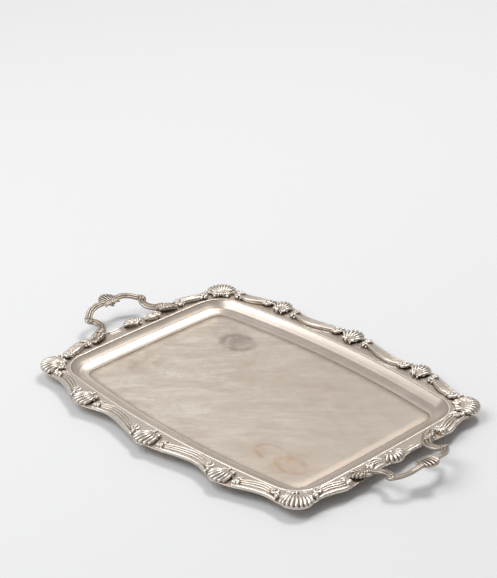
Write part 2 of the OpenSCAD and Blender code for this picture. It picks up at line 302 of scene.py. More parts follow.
@dataclass(frozen=True)
class PanFinish(SilverFinish):
    """The pressed sheet: satin, wiped for years, with faint rings where bottles stood."""

    def distance(self, bench: Bench, x: float, y: float, squash: float = 1.0) -> Shade:
        """Distance from a place on the floor.

        Args:
            bench: the material's bench.
            x: the place, in metres.
            y: the place, in metres.
            squash: how much nearer things count along Y.

        Returns:
            The distance, in metres.
        """
        place = bench.node("ShaderNodeSeparateXYZ", None, {"Vector": self.place(bench)})
        dx = Shade(bench, place.outputs[0]) - x
        dy = (Shade(bench, place.outputs[1]) - y) / squash
        return bench.maths("SQRT", dx * dx + dy * dy)

    def ring(self, bench: Bench, x: float, y: float, across: float, squash: float,
             width: float) -> Shade:
        """A broken ring stain on the floor.

        Args:
            bench: the material's bench.
            x: the ring's middle, in metres.
            y: the ring's middle, in metres.
            across: the ring's radius.
            squash: how much narrower it is along Y.
            width: half the width of its line.

        Returns:
            A mask, 1 on the stain.
        """
        wobble = self.noise(bench, 60.0, 2.0)
        radius = self.distance(bench, x, y, squash) + 0.012 * (wobble - 0.5)
        offset = bench.maths("ABSOLUTE", radius - across)
        return offset.step(width, 0.2 * width) * (0.2 + 0.8 * wobble.step(0.36, 0.6))

    def patch(self, bench: Bench, x: float, y: float, across: float) -> Shade:
        """A soft cloud of stain on the floor.

        Args:
            bench: the material's bench.
            x: the cloud's middle, in metres.
            y: the cloud's middle, in metres.
            across: its radius.

        Returns:
            A mask, 1 in the cloud.
        """
        cloud = self.noise(bench, 38.0, 5.0, distortion=0.6)
        return self.distance(bench, x, y).step(across, 0.3 * across) * (0.25 + 0.75 * cloud.step(0.42, 0.62))

    def material(self) -> bpy.types.Material:
        """The finish of the pan, from its "floor", "groove" and "bead" values.

        Returns:
            The material.
        """
        material, bench = self.start()
        floor = self.attribute(bench, "floor")
        groove = self.attribute(bench, "groove")
        bead = self.attribute(bench, "bead")
        broad = self.noise(bench, 9.0, 4.0, distortion=0.4)
        mottle = self.noise(bench, 42.0, 5.0, distortion=0.5)
        fine = self.noise(bench, 260.0, 4.0)
        wipes = self.noise(bench, 16.0, 5.0, self.stretched(bench, -0.8, 1.0, 4.0), distortion=0.8)
        scratches = self.noise(bench, 24.0, 3.0, self.stretched(bench, -0.6, 0.5, 30.0), distortion=0.3)
        colour = tinted(bench, broad.step(0.35, 0.68), self.silver, self.warm)
        colour = tinted(bench, mottle.step(0.42, 0.74) * 0.6, colour, self.tarnish_and_shade)
        clouds = self.noise(bench, 17.0, 7.0, self.stretched(bench, -0.8, 0.9, 1.5), distortion=0.5)
        specks = self.noise(bench, 420.0, 2.0)
        colour = tinted(bench, clouds.step(0.36, 0.74) * floor * 0.8, colour, (0.60, 0.50, 0.415))
        colour = tinted(bench, wipes.step(0.38, 0.78) * floor * 0.7, colour, self.bright)
        grain = self.noise(bench, 130.0, 6.0, distortion=0.4)
        colour = tinted(bench, grain.step(0.46, 0.66) * floor * 0.5, colour, (0.64, 0.55, 0.46))
        colour = tinted(bench, specks.step(0.60, 0.76) * 0.45, colour, self.tarnish_and_shade)
        colour = tinted(bench, scratches.step(0.60, 0.74) * floor * 0.5, colour, self.bright)
        colour = tinted(bench, (1.0 - floor) * (0.15 + 0.5 * broad.step(0.3, 0.7)), colour, self.tarnish_and_shade)
        place = bench.node("ShaderNodeSeparateXYZ", None, {"Vector": self.place(bench)})
        # painted shade: the pan is tinted darker towards +X and +Y, for light falling off to the right and
        # back
        side = Shade(bench, place.outputs[0]) + 0.7 * Shade(bench, place.outputs[1]) + 0.12 * (broad - 0.5)
        colour = tinted(bench, side.step(-0.16, 0.22) * 0.9, colour, (0.53, 0.46, 0.40))
        stains = (0.9 * self.ring(bench, -0.120, 0.081, 0.024, 0.8, 0.008)
                  + 0.8 * self.patch(bench, -0.120, 0.081, 0.034)
                  + 0.5 * self.patch(bench, -0.150, 0.082, 0.05)) * floor
        colour = tinted(bench, stains * 0.85, colour, (0.43, 0.36, 0.32))
        rust = (0.7 * self.patch(bench, -0.085, 0.096, 0.03)
                + 0.8 * self.patch(bench, -0.175, -0.045, 0.05)
                + 0.35 * self.patch(bench, -0.05, 0.03, 0.09)
                + 0.3 * self.patch(bench, 0.04, 0.05, 0.09)) * floor
        colour = tinted(bench, rust * 0.75, colour, (0.52, 0.405, 0.31))
        loops = (1.1 * self.ring(bench, 0.154, -0.087, 0.021, 0.7, 0.007)
                 + 0.9 * self.ring(bench, 0.118, -0.084, 0.026, 0.6, 0.006)
                 + 0.8 * self.patch(bench, 0.15, -0.085, 0.05)
                 + 0.6 * self.patch(bench, 0.10, -0.10, 0.05)) * floor
        colour = tinted(bench, loops * 0.62, colour, (0.54, 0.41, 0.305))
        rim = self.attribute(bench, "rim")
        colour = tinted(bench, rim * (0.1 + 0.5 * mottle), colour, (0.42, 0.36, 0.30))
        # painted highlight: the bead along the rim's inner edge is tinted bright
        colour = tinted(bench, bead * 0.6, colour, self.bright)
        # painted shade: a dark brown line along the groove at the floor's edge stands in for the shade of the
        # step there, with some dirt
        dirt_and_shade = (groove + 0.2 * (fine - 0.5) * groove).step(0.1, 0.8) * self.grime_and_shade
        colour = tinted(bench, dirt_and_shade * (0.55 + 0.45 * mottle), colour, (0.19, 0.14, 0.10))
        roughness = (self.roughness + self.roughness_swing * (mottle - 0.5) + 0.10 * (wipes - 0.5)
                     + 0.05 * floor + 0.08 * (grain - 0.5) + 0.2 * dirt_and_shade + 0.06 * bead)
        height = 0.5 * fine + 0.35 * scratches * floor + 0.5 * wipes + 0.4 * mottle
        self.surface(bench, colour, roughness, height)
        return material


PAN = PanFinish("worn_pan_plate", silver=(0.79, 0.72, 0.64), bright=(0.90, 0.84, 0.77),
                tarnish_and_shade=(0.60, 0.515, 0.44), warm=(0.74, 0.66, 0.57), roughness=0.34,
                roughness_swing=0.14, grime_and_shade=0.85, bump=0.10)
BORDER = SilverFinish("cast_border_plate", silver=(0.57, 0.505, 0.44), bright=(0.77, 0.72, 0.665),
                      tarnish_and_shade=(0.225, 0.172, 0.122), warm=(0.53, 0.45, 0.36), roughness=0.41,
                      roughness_swing=0.14, grime_and_shade=0.93, bump=0.18)
HANDLE = SilverFinish("cast_handle_plate", silver=(0.33, 0.28, 0.23), bright=(0.55, 0.495, 0.435),
                      tarnish_and_shade=(0.145, 0.106, 0.072), warm=(0.34, 0.27, 0.20), roughness=0.42,
                      roughness_swing=0.14, grime_and_shade=0.95, bump=0.18)


# ---------------------------------------------------------------- the tray's outline

@dataclass
class Outline:
    """The rim's inner edge, in millimetres: bowed sides joined by corner arcs."""

    half_length: float = 225.0
    half_width: float = 159.0
    long_bow: float = 18.5
    short_bow: float = 3.5
    corner_radius: float = 40.0
    rim_dip: float = 25.0
    long_swell: float = 37.0
    corner_swell: float = 37.0
    short_swell: float = 29.0
    foot_swell: float = 26.0
    half_span: float = 58.0

    def __post_init__(self) -> None:
        """Works out the arcs and the table of rim widths."""
        self.long_radius = (self.half_length ** 2 + self.long_bow ** 2) / (2 * self.long_bow)
        self.short_radius = (self.half_width ** 2 + self.short_bow ** 2) / (2 * self.short_bow)
        first = np.array([0.0, self.half_width - self.long_radius])
        second = np.array([self.half_length - self.short_radius, 0.0])
        r1 = self.long_radius - self.corner_radius
        r2 = self.short_radius - self.corner_radius
        gap = np.linalg.norm(second - first)
        way = (second - first) / gap
        a = (r1 ** 2 - r2 ** 2 + gap ** 2) / (2 * gap)
        h = math.sqrt(r1 ** 2 - a ** 2)
        corner = first + a * way + h * np.array([way[1], -way[0]])
        self.centres = np.array([first, corner, second])
        self.radii = np.array([self.long_radius, self.corner_radius, self.short_radius])
        self.turn_1 = math.atan2(*(corner - first)[::-1])
        self.turn_2 = math.atan2(*(corner - second)[::-1])
        self.long_run = self.long_radius * (math.pi / 2 - self.turn_1)
        self.corner_run = self.corner_radius * (self.turn_1 - self.turn_2)
        self.short_run = self.short_radius * self.turn_2
        self.quarter = self.long_run + self.corner_run + self.short_run
        self.shell_at = 0.665 * self.long_run
        self.corner_at = self.long_run + 0.45 * self.corner_run
        foot = self.quarter - self.half_span
        self.widths = np.array([
            (0.0, self.long_swell), (self.shell_at / 2 + 0.08 * self.long_run, self.rim_dip),
            (self.shell_at, self.long_swell), (self.long_run, self.rim_dip),
            (self.corner_at, self.corner_swell),
            (self.long_run + 0.86 * self.corner_run, self.rim_dip - 2),
            (self.quarter - 0.84 * self.short_run, self.short_swell), (foot, self.foot_swell),
            ((foot + self.quarter) / 2, self.rim_dip - 2), (self.quarter, self.foot_swell)])

    def point(self, s: Array, t: Array) -> tuple[Array, Array, Array]:
        """Places in the back right quarter.

        Args:
            s: distances along the rim's inner edge from the middle of the long side.
            t: distances outward from that edge.

        Returns:
            x, y and the outward angle.
        """
        s, t = np.broadcast_arrays(np.asarray(s, float), np.asarray(t, float))
        which = np.where(s < self.long_run, 0, np.where(s < self.long_run + self.corner_run, 1, 2))
        angle = np.choose(which, [
            math.pi / 2 - s / self.long_radius,
            self.turn_1 - (s - self.long_run) / self.corner_radius,
            (self.quarter - s) / self.short_radius])
        radius = self.radii[which] + t
        centre = self.centres[which]
        return (centre[..., 0] + radius * np.cos(angle), centre[..., 1] + radius * np.sin(angle), angle)

    def outward(self, x: Array, y: Array) -> tuple[Array, Array]:
        """The s and t of places anywhere on the tray, folded into the back right quarter.

        Args:
            x: places, in millimetres.
            y: places, in millimetres.

        Returns:
            The distance along the rim's inner edge, and the distance outward from it.
        """
        x, y = np.abs(x), np.abs(y)
        turns = [np.arctan2(y - c[1], x - c[0]) for c in self.centres]
        offs = [np.hypot(x - c[0], y - c[1]) - r for c, r in zip(self.centres, self.radii)]
        which = np.where(turns[0] >= self.turn_1, 0, np.where(turns[2] <= self.turn_2, 2, 1))
        s = np.choose(which, [
            self.long_radius * (math.pi / 2 - turns[0]),
            self.long_run + self.corner_radius * (self.turn_1 - turns[1]),
            self.quarter - self.short_radius * turns[2]])
        return s, np.choose(which, offs)

    def width(self, s: Array) -> Array:
        """Width of the rim at distance s from the middle of a long side.

        Args:
            s: distances along the rim's inner edge.

        Returns:
            The widths, in millimetres.
        """
        s = np.clip(np.abs(np.asarray(s, float)), 0.0, self.quarter)
        i = np.clip(np.searchsorted(self.widths[:, 0], s, side="right") - 1, 0, len(self.widths) - 2)
        low, high = self.widths[i], self.widths[i + 1]
        f = (s - low[..., 0]) / (high[..., 0] - low[..., 0])
        return low[..., 1] + (high[..., 1] - low[..., 1]) * (1 - np.cos(np.pi * f)) / 2


class Side(Enum):
    """A side of the tray."""

    FRONT = "front"
    BACK = "back"
    LEFT = "left"
    RIGHT = "right"


OUTLINE = Outline()
RIM_TOP = 14.4


def on_side(side: Side, p: Array, t: Array) -> tuple[Array, Array]:
    """Places on one side's rim.

    Args:
        side: the side.
        p: signed distance along the rim from the side's middle, towards +X or +Y.
        t: distance outward from the rim's inner edge.

    Returns:
        x and y in millimetres.
    """
    p = np.asarray(p, float)
    if side in (Side.FRONT, Side.BACK):
        x, y, _ = OUTLINE.point(np.abs(p), t)
        return np.sign(p + 1e-9) * x, y * (1.0 if side is Side.BACK else -1.0)
    x, y, _ = OUTLINE.point(OUTLINE.quarter - np.abs(p), t)
    return x * (1.0 if side is Side.RIGHT else -1.0), np.sign(p + 1e-9) * y


def rim_place(side: Side, value: float) -> float:
    """Signed distance along a side's rim at which its outer edge reaches a given x or y.

    Args:
        side: the side.
        value: x on a long side, y on a short one, in millimetres.

    Returns:
        The distance from the side's middle.
    """
    p = np.linspace(-OUTLINE.quarter, OUTLINE.quarter, 1601)
    edge = on_side(side, p, side_width(side, p))
    return float(np.interp(value, edge[0 if side in (Side.FRONT, Side.BACK) else 1], p))


def side_width(side: Side, p: Array) -> Array:
    """Width of the rim at signed distance p from a side's middle."""
    p = np.abs(np.asarray(p, float))
    return OUTLINE.width(p if side in (Side.FRONT, Side.BACK) else OUTLINE.quarter - p)


# ---------------------------------------------------------------- plain meshes

@dataclass
class Solid:
    """Vertices and faces of a mesh, in millimetres."""

    verts: Array
    faces: list[tuple[int, ...]] | Array

    @staticmethod
    def of_mesh(mesh: bpy.types.Mesh) -> "Solid":
        """Reads a mesh.

        Args:
            mesh: the mesh, of any faces.

        Returns:
            Its numbers.
        """
        verts = np.empty(len(mesh.vertices) * 3)
        mesh.vertices.foreach_get("co", verts)
        return Solid(verts.reshape(-1, 3), [tuple(f.vertices) for f in mesh.polygons])

    @staticmethod
    def joined(solids: Sequence["Solid"]) -> "Solid":
        """Several solids side by side in one, not fused.

        Args:
            solids: the solids.

        Returns:
            One solid that holds them all.
        """
        verts, faces, start = [], [], 0
        for solid in solids:
            verts.append(solid.verts)
            faces.extend(tuple(int(k) + start for k in f) for f in solid.faces)
            start += len(solid.verts)
        return Solid(np.concatenate(verts), faces)

    def mesh(self, name: str) -> bpy.types.Mesh:
        """A Blender mesh of the same numbers.

        Args:
            name: the mesh's name.

        Returns:
            The mesh.
        """
        mesh = bpy.data.meshes.new(name)
        mesh.from_pydata([tuple(v) for v in self.verts.tolist()], [], [tuple(f) for f in self.faces])
        mesh.validate()
        return mesh


def ring_skin(rings: Array) -> Solid:
    """A closed skin over rings of points, capped at both ends.

    Args:
        rings: array of rings by points by 3, each ring clockwise along the way they travel.

    Returns:
        The solid.
    """
    count, n = rings.shape[:2]
    faces = [(i * n + j, (i + 1) * n + j, (i + 1) * n + (j + 1) % n, i * n + (j + 1) % n)
             for i in range(count - 1) for j in range(n)]
    faces.append(tuple(range(n)))
    faces.append(tuple((count - 1) * n + j for j in reversed(range(n))))
    return Solid(rings.reshape(-1, 3), faces)


@dataclass
class Stroke:
    """A round stroke of metal: a path with a radius at each point, in millimetres."""

    points: Array
    radii: Array

    @staticmethod
    def along(points: Array, start: float, middle: float, end: float) -> "Stroke":
        """A stroke with rounded ends, whose radius eases from start through middle to end.

        Args:
            points: the path.
            start: radius at its start.
            middle: radius halfway.
            end: radius at its end.

        Returns:
            The stroke.
        """
        f = np.linspace(0, 1, len(points))
        radii = np.where(f < 0.5, start + (middle - start) * np.sin(np.pi * f),
                         end + (middle - end) * np.sin(np.pi * f))
        length = np.linalg.norm(np.diff(points, axis=0), axis=1).sum()
        reach = np.minimum(f, 1 - f) * length
        radii = radii * np.sqrt(np.clip(reach / np.maximum(radii, 0.2), 0.03, 1.0))
        return Stroke(np.asarray(points, float), radii)

    @staticmethod
    def lobe(start: Sequence[float], end: Sequence[float], width: float, lift: float = 0.0) -> "Stroke":
        """A plump lobe between two points, widest past its middle.

        Args:
            start: its thin end.
            end: its round end.
            width: its largest radius.
            lift: how far its middle rises.

        Returns:
            The stroke.
        """
        f = np.linspace(0, 1, 12)[:, None]
        points = np.asarray(start, float) * (1 - f) + np.asarray(end, float) * f
        points[:, 2] += lift * np.sin(np.pi * f[:, 0])
        shape = f[:, 0] ** 0.7 * np.sqrt(np.clip(1 - f[:, 0] ** 5, 0.0, 1.0))
        return Stroke(points, np.maximum(width * shape / shape.max(), 0.15))

    @staticmethod
    def volute(centre: Sequence[float], outer: float, thick: float, start: float, turns: float,
               rise: float = 0.8) -> "Stroke":
        """A curl that winds inward to an eye.

        Args:
            centre: the eye.
            outer: radius of the first turn.
            thick: radius of the stroke where it starts.
            start: angle at which it starts, in radians.
            turns: turns it makes, negative for clockwise.
            rise: how far the eye stands above the start.

        Returns:
            The stroke.
        """
        f = np.linspace(0, 1, max(16, int(30 * abs(turns))))
        angle = start + 2 * np.pi * turns * f
        radius = outer * (1 - f) ** 0.8
        points = np.stack([centre[0] + radius * np.cos(angle), centre[1] + radius * np.sin(angle),
                           centre[2] + rise * f], axis=1)
        return Stroke(points, thick * (1 - 0.45 * f) * np.where(f > 0.93, 1.25, 1.0))


# ---------------------------------------------------------------- geometry nodes

@dataclass
class NodeTool:
    """A Geometry Nodes tree with named inputs, run on a helper object and baked to plain mesh."""

    name: str
    sockets: dict[str, tuple[str, Any]]
    build: Callable[[Bench, dict[str, Shade]], Any]

    def __post_init__(self) -> None:
        """Builds the tree, which ends in Realize Instances and Set Material."""
        tree = bpy.data.node_groups.new(self.name, "GeometryNodeTree")
        tree.interface.new_socket(name="Geometry", in_out="INPUT", socket_type="NodeSocketGeometry")
        self.keys: dict[str, str] = {}
        for label, (kind, default) in self.sockets.items():
            item = tree.interface.new_socket(name=label, in_out="INPUT", socket_type=kind)
            if default is not None:
                item.default_value = default
            self.keys[label] = item.identifier
        item = tree.interface.new_socket(name="Finish", in_out="INPUT", socket_type="NodeSocketMaterial")
        self.keys["Finish"] = item.identifier
        tree.interface.new_socket(name="Geometry", in_out="OUTPUT", socket_type="NodeSocketGeometry")
        bench = Bench(tree)
        source = bench.node("NodeGroupInput")
        inputs = {s.name: Shade(bench, s) for s in source.outputs if s.name}
        made = self.build(bench, inputs)
        real = bench.node("GeometryNodeRealizeInstances", None, {0: made})
        painted = bench.node("GeometryNodeSetMaterial", None,
                             {"Geometry": real.outputs[0], "Material": inputs["Finish"]})
        bench.node("NodeGroupOutput", None, {0: painted.outputs[0]})
        self.tree = tree

    def run(self, source: bpy.types.Mesh, values: dict[str, Any],
            finish: bpy.types.Material) -> Solid:
        """Runs the tree on a mesh.

        Args:
            source: the mesh that the tree starts from.
            values: named inputs.
            finish: the material that the tree sets.

        Returns:
            The result as plain vertices and faces.
        """
        helper = bpy.data.objects.new(self.name, source)
        bpy.context.scene.collection.objects.link(helper)
        modifier = helper.modifiers.new(self.name, "NODES")
        modifier.node_group = self.tree
        for label, value in {**values, "Finish": finish}.items():
            modifier[self.keys[label]] = value
        solid = baked(helper)
        bpy.data.objects.remove(helper)
        bpy.data.meshes.remove(source)
        return solid


def evaluated(helper: bpy.types.Object) -> bpy.types.Mesh:
    """A new mesh of a helper object as its modifiers leave it.

    Args:
        helper: the object, with its modifiers on.

    Returns:
        The mesh, which the caller removes.
    """
    graph = bpy.context.evaluated_depsgraph_get()
    graph.update()
    return bpy.data.meshes.new_from_object(helper.evaluated_get(graph), depsgraph=graph)


def baked(helper: bpy.types.Object) -> Solid:
    """The evaluated shape of a helper object, as plain numbers.

    Args:
        helper: the object, with its modifiers on.

    Returns:
        Plain vertices and faces.
    """
    mesh = evaluated(helper)
    solid = Solid.of_mesh(mesh)
    bpy.data.meshes.remove(mesh)
    return solid


def sweep_curve(bench: Bench, curve: Any, radius: Any, sides: Any) -> Any:
    """Sweeps a circle along curves with a radius at each point.

    Args:
        bench: the tree's bench.
        curve: the curves' socket.
        radius: the radius field.
        sides: sides of the circle.

    Returns:
        The mesh socket.
    """
    circle = bench.node("GeometryNodeCurvePrimitiveCircle", None, {"Resolution": sides, "Radius": 1.0})
    sized = bench.node("GeometryNodeSetCurveRadius", None, {"Curve": curve, "Radius": radius})
    node = bench.node("GeometryNodeCurveToMesh", None,
                      {"Curve": sized.outputs[0], "Profile Curve": circle.outputs[0], "Fill Caps": True})
    if "Scale" in node.inputs:
        bench.tree.links.new(radius.socket, node.inputs["Scale"])
    return node.outputs[0]


def build_strokes(bench: Bench, inputs: dict[str, Shade]) -> Any:
    """Tree body: every chain of edges becomes a round stroke with its own radii.

    Args:
        bench: the tree's bench.
        inputs: the tree's inputs by name.

    Returns:
        The socket of the tubes.
    """
    curve = bench.node("GeometryNodeMeshToCurve", None, {"Mesh": inputs["Geometry"]})
    radius = bench.out("GeometryNodeInputNamedAttribute", 0, {"data_type": "FLOAT"}, {"Name": "radius"})
    return sweep_curve(bench, curve.outputs[0], radius, inputs["Sides"])


def build_reeds(bench: Bench, inputs: dict[str, Shade]) -> Any:
    """Tree body: one guide path becomes a band of parallel reeds that keeps its width to the path.

    Args:
        bench: the tree's bench.
        inputs: the tree's inputs by name.

    Returns:
        The socket of the reeds.
    """
    curve = bench.node("GeometryNodeMeshToCurve", None, {"Mesh": inputs["Geometry"]})
    copies = bench.node("GeometryNodeDuplicateElements", {"domain": "SPLINE"},
                        {"Geometry": curve.outputs[0], "Amount": inputs["Reeds"]})
    lane = Shade(bench, copies.outputs["Duplicate Index"]) - 0.5 * (inputs["Reeds"] - 1.0)
    spread = bench.out("GeometryNodeInputNamedAttribute", 0, {"data_type": "FLOAT"}, {"Name": "spread"})
    tangent = bench.node("GeometryNodeInputTangent").outputs[0]
    flat = bench.node("ShaderNodeVectorMath", {"operation": "MULTIPLY"}, {0: tangent, 1: (1.0, 1.0, 0.0)})
    across = bench.node("ShaderNodeVectorMath", {"operation": "CROSS_PRODUCT"},
                        {0: flat.outputs[0], 1: (0.0, 0.0, 1.0)})
    unit = bench.node("ShaderNodeVectorMath", {"operation": "NORMALIZE"}, {0: across.outputs[0]})
    shift = bench.node("ShaderNodeVectorMath", {"operation": "SCALE"},
                       {0: unit.outputs[0], "Scale": lane * inputs["Pitch"] * spread})
    drop = bench.node("ShaderNodeCombineXYZ", None, {2: lane * inputs["Fall"]})
    offset = bench.node("ShaderNodeVectorMath", {"operation": "ADD"},
                        {0: shift.outputs[0], 1: drop.outputs[0]})
    moved = bench.node("GeometryNodeSetPosition", None,
                       {"Geometry": copies.outputs[0], "Offset": offset.outputs[0]})
    radius = bench.out("GeometryNodeInputNamedAttribute", 0, {"data_type": "FLOAT"}, {"Name": "radius"})
    return sweep_curve(bench, moved.outputs[0], radius, inputs["Sides"])


def build_fan(bench: Bench, inputs: dict[str, Shade]) -> Any:
    """Tree body: the ribs of a scallop shell, fanned out from its hinge over a dome.

    Args:
        bench: the tree's bench.
        inputs: the tree's inputs by name.

    Returns:
        The socket of the ribs.
    """
    line = bench.node("GeometryNodeCurvePrimitiveLine", None, {"Start": (0, 0, 0), "End": (1, 0, 0)})
    fine = bench.node("GeometryNodeResampleCurve", None, {"Curve": line.outputs[0], "Count": 26})
    copies = bench.node("GeometryNodeDuplicateElements", {"domain": "SPLINE"},
                        {"Geometry": fine.outputs[0], "Amount": inputs["Ribs"]})
    index = Shade(bench, copies.outputs["Duplicate Index"])
    along = bench.out("GeometryNodeSplineParameter", "Factor")
    v = 2.0 * index / (inputs["Ribs"] - 1.0) - 1.0
    angle = v * inputs["Spread"] * (1.0 + inputs["Flare"] * (1.0 - along)) + inputs["Sweep"] * along * along
    share = inputs["Start"] + (1.0 - inputs["Start"]) * along
    reach = inputs["Length"] * (1.0 - inputs["Round"] * v * v) * share
    dome = bench.maths("SINE", math.pi * (0.16 + 0.80 * along)) ** 0.75
    high = inputs["Crown"] * (1.0 - inputs["Drop"] * v * v) * dome
    place = bench.node("ShaderNodeCombineXYZ", None, {
        0: reach * bench.maths("COSINE", angle), 1: reach * bench.maths("SINE", angle), 2: high})
    moved = bench.node("GeometryNodeSetPosition", None,
                       {"Geometry": copies.outputs[0], "Position": place.outputs[0]})
    rounding = bench.maths("MAXIMUM", 1.0 - along ** 14.0, 0.004) ** 0.5
    radius = inputs["Thick"] * (0.34 + 0.66 * along ** 0.8) * rounding
    return sweep_curve(bench, moved.outputs[0], radius, inputs["Sides"])


STROKES = NodeTool("stroke_sweep", {"Sides": ("NodeSocketInt", TUBE_SIDES)}, build_strokes)
REEDS = NodeTool("reed_band", {"Sides": ("NodeSocketInt", TUBE_SIDES), "Reeds": ("NodeSocketInt", 4),
                               "Pitch": ("NodeSocketFloat", 4.0),
                               "Fall": ("NodeSocketFloat", 0.0)}, build_reeds)
FAN = NodeTool("rib_fan", {"Sides": ("NodeSocketInt", TUBE_SIDES), "Ribs": ("NodeSocketInt", 7),
                           "Spread": ("NodeSocketFloat", 0.7), "Flare": ("NodeSocketFloat", 0.0),
                           "Length": ("NodeSocketFloat", 30.0), "Start": ("NodeSocketFloat", 0.1),
                           "Round": ("NodeSocketFloat", 0.1), "Crown": ("NodeSocketFloat", 6.0),
                           "Drop": ("NodeSocketFloat", 0.3), "Thick": ("NodeSocketFloat", 2.5),
                           "Sweep": ("NodeSocketFloat", 0.0)}, build_fan)


def chain_mesh(strokes: Sequence[Stroke], spreads: Sequence[Array] | None = None) -> bpy.types.Mesh:
    """A mesh of bare edges that carries each stroke's radii.

    Args:
        strokes: the strokes.
        spreads: for a reed band, how wide the band is at each point.

    Returns:
        The mesh, one chain for each stroke.
    """
    points = np.concatenate([s.points for s in strokes])
    edges, start = [], 0
    for stroke in strokes:
        edges.extend((start + k, start + k + 1) for k in range(len(stroke.points) - 1))
        start += len(stroke.points)
    mesh = bpy.data.meshes.new("chains")
    mesh.from_pydata([tuple(p) for p in points.tolist()], edges, [])
    mesh.attributes.new("radius", "FLOAT", "POINT").data.foreach_set(
        "value", np.concatenate([s.radii for s in strokes]).astype(np.float32))
    if spreads is not None:
        mesh.attributes.new("spread", "FLOAT", "POINT").data.foreach_set(
            "value", np.concatenate(spreads).astype(np.float32))
    return mesh


# ---------------------------------------------------------------- castings

@dataclass
class Casting:
    """One cast piece: strokes and domes fused into a single skin, then dressed."""

    node: str
    finish: bpy.types.Material
    slot: str
    voxel: float = 0.5
    smoothing: int = 2
    lean: float = 0.0
    pivot: float = 0.0
    parts: list[Solid] = field(default_factory=list)
    strokes: list[Stroke] = field(default_factory=list)

    def sweep(self) -> None:
        """Turns the strokes gathered so far into tubes."""
        if self.strokes:
            self.parts.append(STROKES.run(chain_mesh(self.strokes), {"Sides": TUBE_SIDES}, self.finish))
            self.strokes = []

    def fused(self) -> tuple[Array, Array, Array]:
        """Fuses the parts into one skin.

        Returns:
            Vertices, quad faces and edges.
        """
        self.sweep()
        helper = bpy.data.objects.new("fuse", Solid.joined(self.parts).mesh("fuse"))
        bpy.context.scene.collection.objects.link(helper)
        remesh = helper.modifiers.new("fuse", "REMESH")
        remesh.mode = "VOXEL"
        remesh.voxel_size = self.voxel
        mesh = evaluated(helper)
        verts = np.empty(len(mesh.vertices) * 3)
        mesh.vertices.foreach_get("co", verts)
        edges = np.empty(len(mesh.edges) * 2, dtype=np.int64)
        mesh.edges.foreach_get("vertices", edges)
        corners = np.empty(len(mesh.loops), dtype=np.int64)
        mesh.loops.foreach_get("vertex_index", corners)
        bpy.data.objects.remove(helper)
        bpy.data.meshes.remove(mesh)
        return verts.reshape(-1, 3), corners.reshape(-1, 4), edges.reshape(-1, 2)

    def seat(self, verts: Array) -> Array:
        """Leans the fused skin up outward about its pivot, a distance from the tray's middle.

        Args:
            verts: the fused skin.

        Returns:
            The skin in its place, in millimetres.
        """
        verts = verts.copy()
        verts[:, 2] += self.lean * (np.abs(verts[:, 0]) - self.pivot)
        return verts

    def make(self) -> bpy.types.Object:
        """Builds the piece and puts it on the tray.

        Returns:
            The finished object, in metres.
        """
        verts, faces, edges = self.fused()
        for _ in range(self.smoothing):
            verts = verts + 0.5 * (neighbour_mean(verts, edges) - verts)
        verts = verts + hand_worn(verts)
        hollow = hollowness(verts, faces, edges)
        verts = self.seat(verts)
        mesh = bpy.data.meshes.new(self.node)
        mesh.from_pydata((verts * MM).tolist(), [], faces.tolist())
        put_values(mesh, "hollow", hollow)
        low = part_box(self.node)[0][2] / MM
        put_values(mesh, "height", np.clip((verts[:, 2] - low) / 8.0, 0, 1))
        return finished(self.node + "_cast", mesh, self.finish, self.slot, self.node)


def neighbour_mean(values: Array, edges: Array) -> Array:
    """Mean of each vertex's neighbours' values.

    Args:
        values: one row for each vertex.
        edges: pairs of vertices.

    Returns:
        One row for each vertex.
    """
    count = len(values)
    total = np.stack([np.bincount(edges[:, 0], values[edges[:, 1], k], count)
                      + np.bincount(edges[:, 1], values[edges[:, 0], k], count)
                      for k in range(values.shape[1])], axis=1)
    number = np.bincount(edges.ravel(), minlength=count)[:, None]
    return total / np.maximum(number, 1)


def hand_worn(verts: Array) -> Array:
    """Small moves, in millimetres, that keep a casting from being regular.

    Args:
        verts: vertices, in millimetres.

    Returns:
        A move for each vertex.
    """
    rng = np.random.default_rng(SEED)
    total = np.zeros_like(verts)
    for _ in range(14):
        way = rng.normal(size=3)
        wave = way / np.linalg.norm(way) * 2 * np.pi / rng.uniform(6.0, 22.0)
        total += np.sin(verts @ wave + rng.uniform(0, 6.28))[:, None] * rng.normal(scale=0.034, size=3)
    return total


def hollowness(verts: Array, faces: Array, edges: Array) -> Array:
    """How hollow the surface is at each vertex: about 0.5 where flat, 1 in a crevice, 0 on a crest.

    Args:
        verts: vertices.
        faces: quad faces, outward.
        edges: edges.

    Returns:
        One value for each vertex.
    """
    diagonal_1 = verts[faces[:, 2]] - verts[faces[:, 0]]
    diagonal_2 = verts[faces[:, 3]] - verts[faces[:, 1]]
    across = np.cross(diagonal_1, diagonal_2)
    normals = np.stack([np.bincount(faces.ravel(), np.repeat(across[:, k], 4), len(verts))
                        for k in range(3)], axis=1)
    normals /= np.maximum(np.linalg.norm(normals, axis=1), 1e-9)[:, None]
    soft, result = verts, np.zeros(len(verts))
    for rounds, gain in ((6, 0.85), (24, 0.42)):
        for _ in range(rounds):
            soft = neighbour_mean(soft, edges)
        result += gain * np.einsum("ij,ij->i", soft - verts, normals)
    return np.clip(0.5 + result, 0, 1)


def put_values(mesh: bpy.types.Mesh, name: str, values: Array) -> None:
    """Stores one number for each vertex."""
    mesh.attributes.new(name, "FLOAT", "POINT").data.foreach_set("value", values.astype(np.float32))


